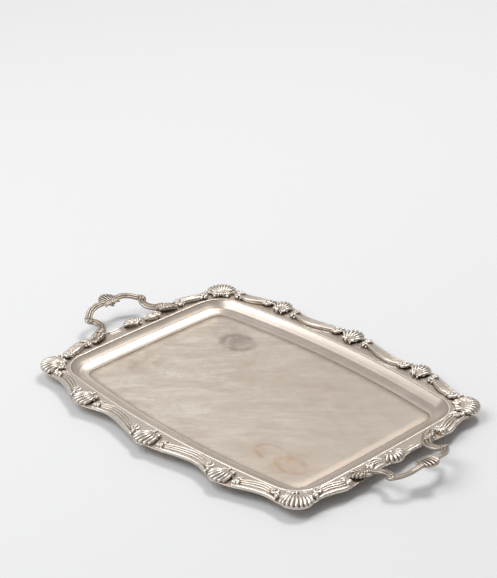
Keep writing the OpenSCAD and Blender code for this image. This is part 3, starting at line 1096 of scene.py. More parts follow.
def finished(name: str, mesh: bpy.types.Mesh, finish: bpy.types.Material, slot: str,
             *nodes: str) -> bpy.types.Object:
    """Smooths, dresses and attaches a finished piece to its body.

    Args:
        name: the object's name.
        mesh: its mesh, in metres and in place.
        finish: its material.
        slot: the record's material slot; not used.
        nodes: the CAD nodes it stands for.

    Returns:
        The object.
    """
    mesh.polygons.foreach_set("use_smooth", [True] * len(mesh.polygons))
    mesh.materials.append(finish)
    piece = bpy.data.objects.new(name, mesh)
    bpy.context.scene.collection.objects.link(piece)
    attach(piece, BODY)
    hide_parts(*nodes)
    log.info("%s: %d faces", name, len(mesh.polygons))
    return piece


class RimCasting(Casting):
    """A casting that lies on the rim: flat underneath, and lapping over the sheet's edge outside it."""

    def seat(self, verts: Array) -> Array:
        """Flattens the underside on the rim and keeps the overhang down to the sheet's lower face.

        Args:
            verts: the fused skin.

        Returns:
            The skin on the rim, in millimetres.
        """
        s, t = OUTLINE.outward(verts[:, 0], verts[:, 1])
        beyond = np.clip((t - OUTLINE.width(s) + 0.3) / 0.4, 0, 1)
        floor = -0.2 - 1.1 * beyond
        verts = verts.copy()
        verts[:, 2] = np.maximum(verts[:, 2], floor) + RIM_TOP
        return verts


@dataclass
class ShellShape:
    """Sizes of one kind of scallop shell, in millimetres and radians."""

    length: float
    spread: float
    ribs: int
    crown: float
    thick: float
    flare: float = 0.35
    rounding: float = 0.12
    drop: float = 0.35
    start: float = 0.16
    sweep: float = 0.0

    def dome(self, share: float = 0.68) -> Solid:
        """The body under the ribs, closed and a little lower than they are.

        Args:
            share: how high it stands, as a share of the ribs' height.

        Returns:
            The solid, outward along +X.
        """
        v = np.linspace(1, -1, 41)[:, None]
        f = np.linspace(0, 0.985, 16)[None, ::-1]
        angle = v * self.spread * (1 + self.flare * (1 - f)) + self.sweep * f * f
        reach = self.length * (1 - self.rounding * v * v) * (self.start * 0.2 + (1 - self.start * 0.2) * f)
        high = share * self.crown * (1 - self.drop * v * v) * np.sin(np.pi * (0.16 + 0.80 * f)) ** 0.75
        top = np.stack([reach * np.cos(angle), reach * np.sin(angle), high], axis=2)
        low = np.stack([top[..., 0], top[..., 1], np.full_like(high, -1.2)], axis=2)
        return ring_skin(np.concatenate([low[:, :1], top, low[:, -1:]], axis=1))

    def fan(self, finish: bpy.types.Material) -> Solid:
        """The ribs.

        Args:
            finish: the material.

        Returns:
            The solid, outward along +X.
        """
        empty = bpy.data.meshes.new("empty")
        return FAN.run(empty, {"Ribs": self.ribs, "Spread": self.spread, "Flare": self.flare,
                               "Length": self.length, "Start": self.start, "Round": self.rounding,
                               "Crown": self.crown, "Drop": self.drop, "Thick": self.thick,
                               "Sweep": self.sweep}, finish)


def turned(solid: Solid, angle: float, shift: Sequence[float], mirror: bool = False) -> Solid:
    """A solid turned about Z and moved.

    Args:
        solid: the solid, built with its outward way along +X.
        angle: the turn, in radians.
        shift: the move.
        mirror: flips it across its own X axis first.

    Returns:
        The placed solid.
    """
    verts = solid.verts * ((1, -1, 1) if mirror else (1, 1, 1))
    c, s = math.cos(angle), math.sin(angle)
    spun = np.stack([c * verts[:, 0] - s * verts[:, 1],
                     s * verts[:, 0] + c * verts[:, 1],
                     verts[:, 2]], axis=1)
    faces = [tuple(reversed(f)) for f in solid.faces] if mirror else solid.faces
    return Solid(spun + np.asarray(shift, float), faces)


def turned_stroke(stroke: Stroke, angle: float, shift: Sequence[float], mirror: bool = False) -> Stroke:
    """A stroke turned about Z and moved, as turned does with a solid."""
    placed = turned(Solid(stroke.points, []), angle, shift, mirror)
    return Stroke(placed.verts, stroke.radii)


@dataclass
class BorderShell:
    """A scallop shell of the border with the curls at its hinge."""

    shape: ShellShape
    eye: float
    flanks: bool = False

    def local_strokes(self) -> list[Stroke]:
        """The curls, the rolled collar and the small leaves at the hinge, outward along +X.

        Returns:
            The strokes.
        """
        strokes = []
        wide = self.flanks
        for hand in (1, -1):
            side = hand * (8.5 if wide else 7.0)
            back = 1.0 if wide else 4.0
            strokes.append(Stroke.volute((back, side, 3.0), self.eye, 0.52 * self.eye, -hand * 2.4,
                                         hand * 1.35, 1.2))
            if hand < 0 or wide:
                strokes.append(Stroke.lobe((back - 2, side * 0.5, 1.0), (back - 5.5, side * 1.3, 1.6),
                                           1.7, 0.8))
            strokes.append(Stroke.lobe((back + 2, side, 2.0), (back + 6, side * 1.7, 2.0), 1.9, 0.6))
            if wide:
                for thin, tip, size, lift in (
                        ((6.0, side + hand * 1.5, 1.6), (15.0, side + hand * 10.5, 1.8), 3.0, 1.2),
                        ((4.0, side + hand * 2.0, 1.4), (8.5, side + hand * 11.0, 1.4), 2.3, 0.9),
                        ((8.0, side * 0.6, 3.4), (13.0, side + hand * 2.0, 4.2), 1.5, 1.0)):
                    strokes.append(Stroke.lobe(thin, tip, size, lift))
        angle = np.linspace(-1, 1, 24) * self.shape.spread * 1.1
        radius = 9.5
        collar = np.stack([radius * np.cos(angle), radius * np.sin(angle),
                           self.shape.crown * 0.72 - 1.4 * (angle / 1.9) ** 2], axis=1)
        strokes.append(Stroke.along(collar, 0.9, 1.5, 0.9))
        strokes.append(Stroke.lobe((6.0, 0, 3.2), (-2.5, 0, 2.4), 2.4, 1.6))
        return strokes

    def cast(self, node: str, finish: bpy.types.Material, hinge: Sequence[float], angle: float,
             mirror: bool) -> bpy.types.Object:
        """Makes one shell.

        Args:
            node: the CAD node it stands for.
            finish: its material.
            hinge: the hinge, x and y.
            angle: the outward way.
            mirror: which way its ribs lean.

        Returns:
            The finished object.
        """
        shift = (hinge[0], hinge[1], 0.0)
        casting = RimCasting(node, finish, "border")
        casting.parts.append(turned(self.shape.dome(), angle, shift, mirror))
        casting.parts.append(turned(self.shape.fan(finish), angle, shift, mirror))
        casting.strokes = [turned_stroke(s, angle, shift, mirror) for s in self.local_strokes()]
        return casting.make()


@dataclass
class BorderScroll:
    """A reeded scroll: it starts at a clasp, follows the wavy edge and ends in a leafy curl."""

    side: Side
    start: float
    end: float
    reeds: int = 4
    pitch: float = 3.55
    reed: float = 1.65
    margin: float = 0.6
    vein: bool = True
    short: bool = False
    plain: bool = False

    def path(self, inset: Callable[[Array], Array], shares: Array) -> Array:
        """Places along the scroll at a distance inside the rim's outer edge.

        Args:
            inset: the distance, from the share of the scroll's length.
            shares: shares of its length.

        Returns:
            x and y.
        """
        p = self.start + (self.end - self.start) * shares
        t = side_width(self.side, p) - self.margin - inset(shares)
        x, y = on_side(self.side, p, t)
        return np.stack([x, y], axis=1)

    def lane(self, inset: float, shares: Array) -> Array:
        """Places along the scroll, all at one distance inside the rim's outer edge."""
        return self.path(lambda g: inset + 0 * g, shares)

    def spot(self, share: float, inset: float, high: float) -> Array:
        """One place on the scroll, with a height."""
        xy = self.lane(inset, np.array([share]))[0]
        return np.array([xy[0], xy[1], high])

    def band(self, finish: bpy.types.Material) -> list[Solid]:
        """The reeds, the smooth outer roll and the bed between them, or a plain scroll's edge and two lines.

        Args:
            finish: the material.

        Returns:
            The solids that make it.
        """
        f = np.linspace(0, 1, 60)
        if self.plain:
            lines = [Stroke.along(np.column_stack([self.lane(k, f), 0 * f]), 0.5, 0.9, 0.5)
                     for k in (5.0, 7.8)]
            edge = Stroke.along(np.column_stack([self.lane(2.0, f), 0 * f + 0.3]), 1.8, 2.2, 1.9)
            return [STROKES.run(chain_mesh([edge, *lines]), {"Sides": TUBE_SIDES}, finish)]
        band = (self.reeds - 1) * self.pitch
        swell = 0.5 + 0.5 * np.sin(np.pi * f) ** 0.7
        inset = lambda g: 4.2 + 0.5 * band * (0.5 + 0.5 * np.sin(np.pi * g) ** 0.7)
        high = 0.9 + 2.1 * np.sin(np.pi * f) ** 0.5
        guide = np.column_stack([self.path(inset, f), high])
        fall = self.inward(guide) * 0.72
        reeds = REEDS.run(chain_mesh([Stroke(guide, self.reed * (0.75 + 0.25 * np.sin(np.pi * f)))], [swell]),
                          {"Sides": TUBE_SIDES, "Reeds": self.reeds, "Pitch": self.pitch, "Fall": fall},
                          finish)
        roll = Stroke.along(np.column_stack([self.lane(2.0, f), 0.7 + 0 * f]), 1.7, 3.0, 1.9)
        bed = Stroke.along(np.column_stack([self.path(inset, f), 0.0 * f + 0.2]), 2.2, 3.4, 2.4)
        inner = Stroke.along(np.column_stack([self.path(lambda g: inset(g) + 0.5 * band * swell + 0.2, f),
                                              0.8 + 1.5 * np.sin(np.pi * f) ** 0.5]), 1.2, 2.6, 1.2)
        return [reeds, STROKES.run(chain_mesh([roll, bed, inner]), {"Sides": TUBE_SIDES}, finish)]

    def inward(self, guide: Array) -> float:
        """1 where the right of the path faces the well, and -1 where it faces outward."""
        way = guide[-1, :2] - guide[0, :2]
        return -1.0 if way[1] * guide[0, 0] - way[0] * guide[0, 1] > 0 else 1.0

    def clasp(self) -> list[Stroke]:
        """Ribs that cross the band at its start, with a curl and small leaves at their inner end.

        Returns:
            The strokes.
        """
        strokes = []
        length = abs(self.end - self.start)
        root = self.spot(5.4 / length, 11.5, 3.6)
        for ahead, inset, size in ((0.2, 7.6, 1.9), (0.6, 3.2, 2.2), (4.6, 1.6, 2.3), (8.8, 2.0, 2.0)):
            strokes.append(Stroke.lobe(root, self.spot(ahead / length, inset, 2.0), size, 1.9))
        eye = self.spot(4.6 / length, 13.4, 2.8)
        back = self.spot(0.4 / length, 13.4, 2.8)
        way = math.atan2(back[1] - eye[1], back[0] - eye[0])
        hand = -1.0 if self.side in (Side.BACK, Side.LEFT) else 1.0
        hand *= 1.0 if self.end > self.start else -1.0
        strokes.append(Stroke.volute(eye, 4.2, 1.8, way - hand * 2.2, hand * 1.25, 1.5))
        for ahead, inset, size in ((0.8, 17.0, 1.8), (6.0, 18.6, 1.7), (11.0, 17.2, 1.4)):
            tip = self.spot(ahead / length, inset, 1.4)
            strokes.append(Stroke.lobe(eye * (0.5, 0.5, 1) + tip * (0.5, 0.5, 0), tip, size, 0.7))
        return strokes

    def curl(self) -> list[Stroke]:
        """The leafy curl at the end of the band.

        Returns:
            The strokes.
        """
        length = abs(self.end - self.start)
        eye = self.spot(1 - 5.2 / length, 10.6, 3.4)
        before = self.spot(1 - 10.0 / length, 10.6, 3.4)
        way = math.atan2(eye[1] - before[1], eye[0] - before[0])
        hand = 1.0 if self.side in (Side.BACK, Side.LEFT) else -1.0
        hand *= 1.0 if self.end > self.start else -1.0
        strokes = [Stroke.volute(eye, 5.6, 2.3, way - hand * 1.9, hand * 1.35, 1.9)]
        leaves = ((0.3, 3.6, 2.7), (-0.6, 9.5, 2.2), (0.2, 15.8, 2.2), (6.0, 18.4, 1.9), (11.0, 17.0, 1.7))
        for ahead, inset, size in leaves[:3] if self.short else leaves:
            tip = self.spot(1 - ahead / length, inset, 1.8)
            strokes.append(Stroke.lobe(eye * (0.6, 0.6, 1) + tip * (0.4, 0.4, 0), tip, size, 0.8))
        return strokes

    def veins(self) -> list[Stroke]:
        """Thin raised lines that part from the band and run along the flat of the rim.

        Returns:
            The strokes.
        """
        strokes = []
        length = abs(self.end - self.start)
        for k in range(3):
            f = np.linspace(0.2 + 0.08 * k, 1 - 12.0 / length, 30)
            band = 5.2 + (self.reeds - 1) * self.pitch
            inset = lambda g, k=k: band + (1.8 + 1.9 * k) * np.sin(
                np.pi * np.clip((g - 0.14) / 0.92, 0, 1)) ** 0.8
            t = self.path(inset, f)
            strokes.append(Stroke.along(np.column_stack([t, 0.15 + 0 * f]), 0.4, 0.75, 0.5))
        return strokes

    def cast(self, node: str, finish: bpy.types.Material) -> bpy.types.Object:
        """Makes the scroll that stands for a CAD node.

        Args:
            node: the CAD node.
            finish: the material.

        Returns:
            The finished object.
        """
        casting = RimCasting(node, finish, "border")
        casting.parts = self.band(finish)
        casting.strokes = [] if self.plain else self.curl()
        if not self.short:
            casting.strokes += self.clasp()
        if self.vein:
            casting.strokes += self.veins()
        return casting.make()


@dataclass
class Border:
    """Every casting on the rim."""

    hinge: float = 10.0
    centre: BorderShell = field(default_factory=lambda: BorderShell(
        ShellShape(31.5, 0.64, 7, 6.2, 2.75, flare=0.6, rounding=0.16, sweep=0.22), 3.6))
    outer: BorderShell = field(default_factory=lambda: BorderShell(
        ShellShape(29.5, 0.62, 7, 6.2, 2.6, flare=0.6, rounding=0.16, sweep=0.30), 3.4))
    corner: BorderShell = field(default_factory=lambda: BorderShell(
        ShellShape(30.5, 0.80, 9, 6.4, 2.7, flare=0.35, rounding=0.10, drop=0.25, start=0.2), 4.8, True))
    end: BorderShell = field(default_factory=lambda: BorderShell(
        ShellShape(18.8, 0.98, 7, 5.8, 2.35, flare=0.35, rounding=0.02, drop=0.12), 3.0))

    def shells(self, finish: bpy.types.Material) -> None:
        """Casts the shells where the CAD shells stand.

        Args:
            finish: the material.
        """
        for side, back in ((Side.FRONT, -1.0), (Side.BACK, 1.0)):
            for name, shell, p in ((f"{side.value}_centre_shell", self.centre, 0.0),
                                   (f"{side.value}_left_shell", self.outer, -OUTLINE.shell_at),
                                   (f"{side.value}_right_shell", self.outer, OUTLINE.shell_at)):
                x, y = on_side(side, p, self.hinge)
                _, _, angle = OUTLINE.point(abs(p), 0.0)
                angle = float(angle) if p >= 0 else math.pi - float(angle)
                shell.cast(name, finish, (float(x), float(y)), angle * back, back < 0)
            for hand, word in ((-1.0, "left"), (1.0, "right")):
                x, y, angle = OUTLINE.point(OUTLINE.corner_at, self.hinge)
                way = math.atan2(back * math.sin(angle), hand * math.cos(angle))
                self.corner.cast(f"{side.value}_{word}_corner_shell", finish,
                                 (hand * float(x), back * float(y)), way, False)
        for side, way in ((Side.LEFT, math.pi), (Side.RIGHT, 0.0)):
            x, y = on_side(side, 0.0, self.hinge)
            self.end.cast(f"{side.value}_end_shell", finish, (float(x), float(y)), way, False)

    def scrolls(self, finish: bpy.types.Material) -> None:
        """Casts the scrolls between the shells, over the CAD scrolls' lengths.

        Args:
            finish: the material.
        """
        for side in (Side.FRONT, Side.BACK):
            for word in ("left", "right"):
                for kind in ("inner", "outer"):
                    node = f"{side.value}_{word}_{kind}_scroll"
                    low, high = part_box(node)
                    BorderScroll(side, rim_place(side, low[0] / MM), rim_place(side, high[0] / MM),
                                 vein=kind == "inner").cast(node, finish)
        for side in (Side.LEFT, Side.RIGHT):
            for word in ("front", "back"):
                for kind in ("end", "foot"):
                    node = f"{side.value}_{word}_{kind}_scroll"
                    low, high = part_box(node)
                    near, far = sorted((low[1] / MM, high[1] / MM), key=abs)
                    plain = kind == "foot" and (side is Side.RIGHT) == (word == "back")
                    BorderScroll(side, rim_place(side, near), rim_place(side, far), vein=False,
                                 short=kind == "foot", plain=plain).cast(node, finish)


# ---------------------------------------------------------------- handles

@dataclass
class Handle:
    """A cast handle: a ridged bar with an elbow on each arm, a shell on its middle and leaves at its feet."""

    side: Side
    width: float = 9.0
    thick: float = 6.0
    reach: float = 50.0
    tilt: float = 0.35
    route: tuple[tuple[float, float, float], ...] = (
        (0, 1, 0), (0.14, 0.81, 0.03), (0.34, 0.715, 0.12), (0.56, 0.735, 0.25), (0.69, 0.83, 0.36),
        (0.81, 0.74, 0.52), (0.94, 0.595, 0.74), (1, 0.42, 0.92), (1, 0.2, 1), (1, 0, 1))

    def __post_init__(self) -> None:
        """Takes the feet and the middle of the bar from the CAD bar's box."""
        low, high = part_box(f"{self.side.value}_handle_bar")
        outer = max(abs(low[0]), abs(high[0])) / MM
        self.hand = 1.0 if self.side is Side.RIGHT else -1.0
        self.grip = np.array([outer - self.width / 2, 0.0, high[2] / MM - self.thick / 2])
        self.foot = np.array([self.grip[0] - self.reach, OUTLINE.half_span, low[2] / MM + self.thick / 2])

    def centre_line(self) -> Array:
        """The bar's middle line from the back foot to the front foot, on the right of the tray.

        Returns:
            Its points, in millimetres.
        """
        shares = np.array(self.route)
        size = np.array([self.grip[0] - self.foot[0], self.foot[1], self.grip[2] - self.foot[2]])
        half = np.column_stack([self.foot[0] + shares[:, 0] * size[0], shares[:, 1] * size[1],
                                self.foot[2] + shares[:, 2] * size[2]])
        knots = np.concatenate([half, half[-2::-1] * (1, -1, 1)])
        return smooth_path(knots, 14)

    def mirrored(self, points: Array) -> Array:
        """Points on this handle's side of the tray."""
        return points * (self.hand, 1.0, 1.0)

    def frame_at(self, line: Array, k: int) -> tuple[Array, Array, Array]:
        """The place, the way along and the way across the bar at a point of its middle line.

        Args:
            line: the middle line.
            k: the point's number.

        Returns:
            The place and the two ways.
        """
        along = line[min(k + 1, len(line) - 1)] - line[max(k - 1, 0)]
        along = along / np.linalg.norm(along)
        face = np.array([-math.sin(self.tilt), 0.0, math.cos(self.tilt)])
        across = np.cross(face, along)
        return line[k], along, across / np.linalg.norm(across)

    def cuff(self, at: tuple[Array, Array, Array], size: float, reach: float, mirror: float) -> Stroke:
        """A cuff round the bar.

        Args:
            at: the place, the way along and the way across there.
            size: the radius of its wire.
            reach: how far it stands from the middle line.
            mirror: 1 for the back arm and -1 for the front one.

        Returns:
            The stroke.
        """
        place, along, side = at
        turn = np.linspace(0, 2 * np.pi, 22)[:, None]
        loop = place + side * reach * np.cos(turn) + np.cross(side, along) * 0.66 * reach * np.sin(turn)
        return Stroke(self.mirrored(loop * (1, mirror, 1)), np.full(22, size))

    def bar_strokes(self) -> list[Stroke]:
        """The ridges along the bar, the cuffs and the knuckles of its elbows.

        Returns:
            The strokes.
        """
        line = self.centre_line()
        frames = [self.frame_at(line, k) for k in range(len(line))]
        across = np.array([f[2] for f in frames])
        count = len(line)
        f = np.linspace(0, 1, count)
        slim = 1.04 + 0.34 * np.abs(2 * f - 1) ** 1.3
        face = np.array([-math.sin(self.tilt), 0.0, math.cos(self.tilt)])
        strokes = [Stroke(self.mirrored(line + across * lane * slim[:, None] + face * rise), size * slim)
                   for lane, rise, size in ((0.0, 0.9, 1.7), (2.9, 0.5, 1.5), (-2.9, 0.5, 1.5),
                                            (0.0, -0.9, 2.2), (1.9, -0.6, 1.9), (-1.9, -0.6, 1.9))]
        arm = (f > 0.12) * (line[:, 0] > self.foot[0] + self.reach / 2)
        elbow = int(np.argmax(np.where(f < 0.5, line[:, 1] * arm, -1e9)))
        for mirror in (1.0, -1.0):
            for k, size, reach in ((1, 1.4, 5.8), (4, 1.5, 5.7), (7, 1.4, 5.4), (10, 1.1, 5.0),
                                   (elbow - 6, 1.0, 4.5), (elbow + 6, 1.0, 4.4)):
                strokes.append(self.cuff(frames[k], size, reach, mirror))
            place = frames[elbow][0] * (1, mirror, 1)
            tip = place + np.array([0.6, 5.6 * mirror, 0.3])
            strokes.append(Stroke.lobe(self.mirrored(tip), self.mirrored(place), 3.6))
            for lean in (-2.6, 2.6):
                start = place + np.array([lean * 1.2, 3.6 * mirror, 0.6])
                end = place + (lean, -1.0 * mirror, 0.8)
                strokes.append(Stroke.lobe(self.mirrored(start), self.mirrored(end), 1.7))
        return strokes

    def bar(self, finish: bpy.types.Material) -> bpy.types.Object:
        """The bar as one casting.

        Args:
            finish: the material.

        Returns:
            The finished object.
        """
        node = f"{self.side.value}_handle_bar"
        casting = Casting(node, finish, "handle", voxel=0.42, smoothing=2, strokes=self.bar_strokes())
        return casting.make()

    def shell(self, finish: bpy.types.Material) -> bpy.types.Object:
        """The ribbed shell on the middle of the bar.

        Args:
            finish: the material.

        Returns:
            The finished object.
        """
        node = f"{self.side.value}_handle_shell"
        low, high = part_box(node)
        inner = min(abs(low[0]), abs(high[0])) / MM
        lip = max(abs(low[0]), abs(high[0])) / MM
        shape = ShellShape(lip - inner + 0.8, 0.60, 8, 4.7, 1.62, flare=1.2, rounding=0.20, drop=0.25,
                           start=0.12)
        base = self.grip[2] - 0.2
        way = 0.0 if self.side is Side.RIGHT else math.pi
        shift = (self.hand * (inner - 0.5), 0.0, base)
        casting = Casting(node, finish, "handle", voxel=0.42, lean=0.2, pivot=0.5 * (inner + lip))
        casting.parts.append(turned(shape.dome(0.66), way, shift))
        casting.parts.append(turned(shape.fan(finish), way, shift))
        for y in np.linspace(-9.5, 9.5, 6):
            start = np.array([self.hand * (inner + 0.8), y, base + 1.5])
            end = np.array([self.hand * (inner + 8.5), y * 0.72, base + 4.3])
            casting.strokes.append(Stroke.lobe(end, start, 1.5, 0.6))
        for hand in (1.0, -1.0):
            eye = (self.hand * (inner + 5.0), hand * 11.2, base + 1.6)
            turn = hand * self.hand
            casting.strokes.append(Stroke.volute(eye, 3.0, 1.3, -turn * 0.6, turn * 1.2, 0.8))
        return casting.make()

    def leaf(self, word: str, finish: bpy.types.Material) -> bpy.types.Object:
        """The acanthus leaf that spreads from a foot along the rim.

        Args:
            word: "front" or "back".
            finish: the material.

        Returns:
            The finished object.
        """
        node = f"{self.side.value}_{word}_handle_leaf"
        hand = 1.0 if word == "back" else -1.0
        away = np.array([-0.5, 0.866, 0.0])
        right = np.array([0.866, 0.5, 0.0])
        root = self.foot * (1, 1, 0) + (0, 0, 2.4)
        place = lambda a, b, z: (root + away * a + right * b + np.array([0, 0, z])) * (self.hand, hand, 1)
        spine = [place(a, 0.6 * math.sin(a / 5), 2.4 - 0.11 * a) for a in np.linspace(-4, 19, 16)]
        strokes = [Stroke.along(np.array(spine), 4.2, 3.2, 1.4)]
        for a, b, size in ((0.0, 7.6, 2.4), (4.5, 8.0, 2.4), (9.0, 7.2, 2.2), (13.5, 5.4, 1.9)):
            for lean in (1.0, -1.0):
                strokes.append(Stroke.lobe(place(a - 5.5, 0.8 * lean, 3.2), place(a + 2.2, b * lean, 0.2),
                                           size, 2.0))
        for lean in (2.4, 0.0, -2.4):
            strokes.append(Stroke.lobe(place(8, 0.5 * lean, 1.8), place(20.5, lean, -0.4), 1.7, 0.9))
        strokes.append(Stroke.volute(place(-2.5, 0.0, 2.2), 7.4, 2.1, 0.4, 1.15 * hand * self.hand, 1.8))
        casting = RimCasting(node, finish, "handle", voxel=0.45, strokes=strokes)
        return casting.make()


def smooth_path(knots: Array, steps: int) -> Array:
    """A smooth path through given points.

    Args:
        knots: the points.
        steps: divisions between two of them.

    Returns:
        The finer points.
    """
    slopes = np.gradient(knots, axis=0)
    path = []
    for k in range(len(knots) - 1):
        f = np.arange(steps)[:, None] / steps
        path.append((2 * f ** 3 - 3 * f ** 2 + 1) * knots[k] + (f ** 3 - 2 * f ** 2 + f) * slopes[k]
                    + (3 * f ** 2 - 2 * f ** 3) * knots[k + 1] + (f ** 3 - f ** 2) * slopes[k + 1])
    return np.concatenate(path + [knots[-1:]])


# ---------------------------------------------------------------- the pan

@dataclass
class Pan:
    """The pressed pan, in millimetres."""

    depth: float = 13.0
    run: float = 24.0
    sheet: float = 1.4
    step: float = 0.8
    bead_width: float = 2.4
    bead_height: float = 0.7
    stations: int = 240
    floor_rings: int = 12
    upper_points: int = 50

    def wall(self, f: Array) -> Array:
        """Height of the wall's upper face at share f of its run."""
        crease = 0.20 * np.sin(2 * np.pi * np.clip((f - 0.34) / 0.3, 0, 1))
        return self.sheet + self.step + (self.depth - self.step - 0.4) * f ** 1.9 + crease

    def section(self, width: float) -> Array:
        """The section from the floor's edge over the rim and back underneath.

        Args:
            width: the rim's width there.

        Returns:
            Points t and z.
        """
        f = np.linspace(0, 1, 26)
        top = self.depth + self.sheet
        slope = 1.9 * self.depth / self.run * f ** 0.9
        wall = np.column_stack([(f - 1) * self.run, self.wall(f)])
        wall[-1] = (-0.15, top - 0.55)
        turn = np.linspace(math.pi, 0, 9)[1:]
        bead = np.column_stack([self.bead_width / 2 * (1 + np.cos(turn)) - 0.1,
                                top - 0.1 + self.bead_height * np.sin(turn)])
        flat = np.column_stack([np.linspace(self.bead_width + 0.3, width - 0.8, 8), np.full(8, top)])
        roll = np.linspace(math.pi / 2, -math.pi / 2, 7)
        edge = np.column_stack([width - self.sheet / 2 + self.sheet / 2 * np.cos(roll),
                                top - self.sheet / 2 + self.sheet / 2 * np.sin(roll)])
        under = np.column_stack([np.linspace(width - 1.6, self.sheet / 2, 5), np.full(5, top - self.sheet)])
        drop = self.sheet * np.sqrt(1 + slope ** 2)
        below = np.column_stack([(f - 1) * self.run + 0.25, self.wall(f) - drop])[-2::-2]
        start = [(-self.run - 1.2, self.sheet + 0.02), (-self.run - 0.75, self.sheet - 0.12),
                 (-self.run - 0.35, self.sheet - 0.05), (-self.run - 0.15, self.sheet + 0.55)]
        finish = [(-self.run - 0.3, 0.02), (-self.run - 1.0, 0.0)]
        return np.concatenate([start, wall, bead, flat, edge, under, below, finish])

    def build(self, finish: bpy.types.Material) -> bpy.types.Object:
        """Makes the pan.

        Args:
            finish: the material.

        Returns:
            The finished object.
        """
        quarter = OUTLINE.quarter
        s = np.linspace(0, quarter, self.stations, endpoint=False)
        s = np.concatenate([s, quarter - s, s, quarter - s])
        sx = np.repeat([1, 1, -1, -1], self.stations)
        sy = np.repeat([1, -1, -1, 1], self.stations)
        sections = np.stack([self.section(w) for w in OUTLINE.width(s)])
        x, y, _ = OUTLINE.point(s[:, None], sections[..., 0])
        grid = np.stack([x * sx[:, None], y * sy[:, None], sections[..., 1]], axis=2)
        shares = np.linspace(0.03, 1, self.floor_rings, endpoint=False)[None, :, None]
        rim = grid[:, :1]
        floor = rim * (shares ** 0.8 * (1, 1, 0) + (0, 0, 1))
        wave = self.waviness(floor[..., 0], floor[..., 1])
        floor[..., 2] = self.sheet + wave * np.clip((1 - shares[..., 0]) * 4, 0, 1)
        base = grid[:, -1:] * (shares[:, ::-1] ** 0.8 * (1, 1, 0) + (0, 0, 1))
        grid = np.concatenate([floor, grid, base], axis=1)
        grid[..., 2] += 0.5 * self.waviness(grid[..., 0], grid[..., 1]) * np.clip(
            1 - np.abs(sections_t(sections, self.floor_rings) + 8) / 12, 0, 1)
        return self.dressed(grid, sections, finish)

    def waviness(self, x: Array, y: Array) -> Array:
        """Slight unevenness of a sheet that was pressed and used, in millimetres.

        Args:
            x: places, in millimetres.
            y: places, in millimetres.

        Returns:
            The height at each place.
        """
        rng = np.random.default_rng(SEED)
        total = np.zeros_like(x)
        for _ in range(9):
            angle, length, phase = rng.uniform(0, np.pi), rng.uniform(45, 150), rng.uniform(0, 6.28)
            total += np.sin((x * math.cos(angle) + y * math.sin(angle)) * 2 * np.pi / length + phase)
        return 0.018 * total

    def dressed(self, grid: Array, sections: Array, finish: bpy.types.Material) -> bpy.types.Object:
        """Turns the grid of stations by points into the finished pan.

        Args:
            grid: points, by station and then along the section.
            sections: the section at each station.
            finish: the material.

        Returns:
            The finished object.
        """
        count, n = grid.shape[:2]
        i = np.arange(count)[:, None]
        j = np.arange(n - 1)[None, :]
        a, b = i * n + j, ((i + 1) % count) * n + j
        quads = np.stack([a, a + 1, b + 1, b], axis=2).reshape(-1, 4)
        faces = quads.tolist()
        faces.append([k * n for k in range(count)])
        faces.append([k * n + n - 1 for k in reversed(range(count))])
        mesh = bpy.data.meshes.new("tray_pan")
        mesh.from_pydata((grid.reshape(-1, 3) * MM).tolist(), [], faces)
        t = sections_t(sections, self.floor_rings)
        upper = (np.arange(n) < self.floor_rings + self.upper_points)[None, :]
        put_values(mesh, "floor", np.where(upper & (t < -self.run - 0.2), 1.0, 0.0).ravel())
        put_values(mesh, "groove", (upper * np.exp(-((t + self.run + 0.3) / 1.15) ** 2)).ravel())
        put_values(mesh, "rim", np.where(upper & (t > self.bead_width), 1.0, 0.0).ravel())
        put_values(mesh, "bead", (upper * np.exp(-((t - self.bead_width / 2) / 1.3) ** 4)).ravel())
        return finished("tray_pan_sheet", mesh, finish, "pan", "tray_pan")


def sections_t(sections: Array, rings: int) -> Array:
    """Distance from the rim's inner edge for every point of the pan, floor and base included."""
    inside = np.repeat(sections[:, :1, 0] - 5.0, rings, axis=1)
    return np.concatenate([inside, sections[..., 0], inside], axis=1)


# ---------------------------------------------------------------- studio

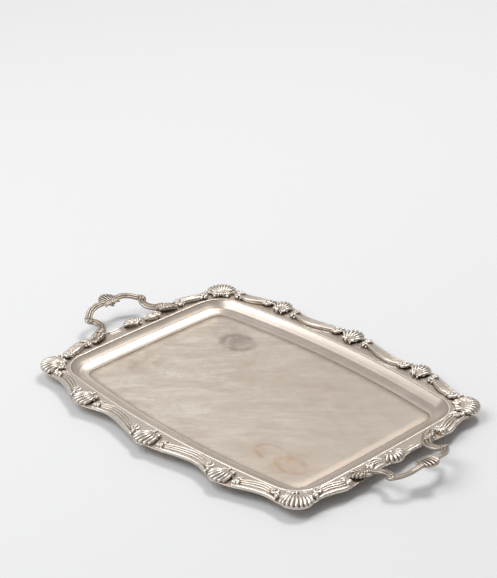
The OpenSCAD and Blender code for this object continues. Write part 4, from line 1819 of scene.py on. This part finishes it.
@dataclass
class Studio:
    """A plain pale floor, soft light and the camera."""

    azimuth: float = 46.763
    elevation: float = 26.853
    roll: float = -0.869
    distance: float = 2.398
    slide: float = -0.0089
    lift: float = 0.125
    lens: float = 115.66
    rim_height: float = 0.015

    def camera(self) -> None:
        """Puts the camera at the view's angle."""
        a, e, turn = (math.radians(v) for v in (self.azimuth, self.elevation, self.roll))
        back = Vector((math.sin(a) * math.cos(e), -math.cos(a) * math.cos(e), math.sin(e)))
        level = Vector((math.cos(a), math.sin(a), 0.0))
        above = back.cross(level)
        right = math.cos(turn) * level + math.sin(turn) * above
        up = -math.sin(turn) * level + math.cos(turn) * above
        place = back * self.distance + right * self.slide + up * self.lift + Vector((0, 0, self.rim_height))
        data = bpy.data.cameras.new("view")
        data.lens = self.lens
        data.sensor_width = 36.0
        data.clip_end = 20.0
        camera = bpy.data.objects.new("view", data)
        camera.matrix_world = Matrix.Translation(place) @ Matrix((right, up, back)).transposed().to_4x4()
        bpy.context.scene.collection.objects.link(camera)
        bpy.context.scene.camera = camera

    def lamp(self, name: str, place: Sequence[float], size: float, power: float, tint: Colour) -> None:
        """A square soft light that faces the tray.

        Args:
            name: its name.
            place: where it hangs, in metres.
            size: its side.
            power: its power in watts.
            tint: its colour.
        """
        data = bpy.data.lights.new(name, "AREA")
        data.shape = "SQUARE"
        data.size = size
        data.energy = power
        data.color = tint
        lamp = bpy.data.objects.new(name, data)
        lamp.location = place
        lamp.rotation_euler = (Vector((0, 0, 0)) - Vector(place)).to_track_quat("-Z", "Y").to_euler()
        bpy.context.scene.collection.objects.link(lamp)

    def light(self) -> None:
        """The soft lights and the pale surroundings."""
        world = bpy.data.worlds.new("surroundings")
        bpy.context.scene.world = world
        world.use_nodes = True
        world.node_tree.nodes.clear()
        bench = Bench(world.node_tree)
        way = bench.node("ShaderNodeTexCoord").outputs["Generated"]
        facing = bench.out("ShaderNodeVectorMath", "Value", {"operation": "DOT_PRODUCT"},
                           {0: way, 1: (-0.84, 0.42, 0.33)})
        pale = bench.node("ShaderNodeValToRGB", {"stops": [
            (0.0, (0.37, 0.362, 0.355)), (0.5, (0.36, 0.353, 0.347)), (0.8, (0.40, 0.395, 0.39)),
            (0.93, (0.54, 0.538, 0.535)), (0.976, (0.68, 0.678, 0.675)), (1.0, (1.15, 1.14, 1.13))]},
            {"Fac": facing * 0.5 + 0.5})
        back = bench.node("ShaderNodeBackground", None, {"Color": pale.outputs[0], "Strength": 0.95})
        bench.node("ShaderNodeOutputWorld", None, {"Surface": back.outputs[0]})
        self.lamp("window", (-0.6, 1.9, 3.45), 1.2, 62.0, (1.0, 0.985, 0.965))
        self.lamp("overhead", (-1.2, -1.9, 3.0), 2.6, 72.0, (0.98, 0.99, 1.0))
        bpy.context.scene.view_settings.view_transform = "Standard"

    def floor(self) -> None:
        """A wide pale cloth-white floor."""
        half = 4.0
        mesh = bpy.data.meshes.new("floor")
        mesh.from_pydata([(-half, -half, -0.0002), (half, -half, -0.0002), (half, half, -0.0002),
                          (-half, half, -0.0002)], [], [(0, 1, 2, 3)])
        material = bpy.data.materials.new("pale_floor")
        material.use_nodes = True
        shader = material.node_tree.nodes["Principled BSDF"]
        shader.inputs["Base Color"].default_value = (0.80, 0.808, 0.822, 1.0)
        shader.inputs["Roughness"].default_value = 0.95
        mesh.materials.append(material)
        floor = bpy.data.objects.new("floor", mesh)
        bpy.context.scene.collection.objects.link(floor)


def main() -> None:
    """Builds the tray, its handles and the studio."""
    logging.basicConfig(level=logging.INFO, format="%(message)s")
    studio = Studio()
    studio.camera()
    studio.light()
    studio.floor()
    pan, border_finish, handle_finish = PAN.material(), BORDER.material(), HANDLE.material()
    Pan().build(pan)
    border = Border()
    border.shells(border_finish)
    border.scrolls(border_finish)
    for side in (Side.LEFT, Side.RIGHT):
        handle = Handle(side)
        handle.bar(handle_finish)
        handle.shell(handle_finish)
        handle.leaf("front", handle_finish)
        handle.leaf("back", handle_finish)


if __name__ == "__main__":
    main()
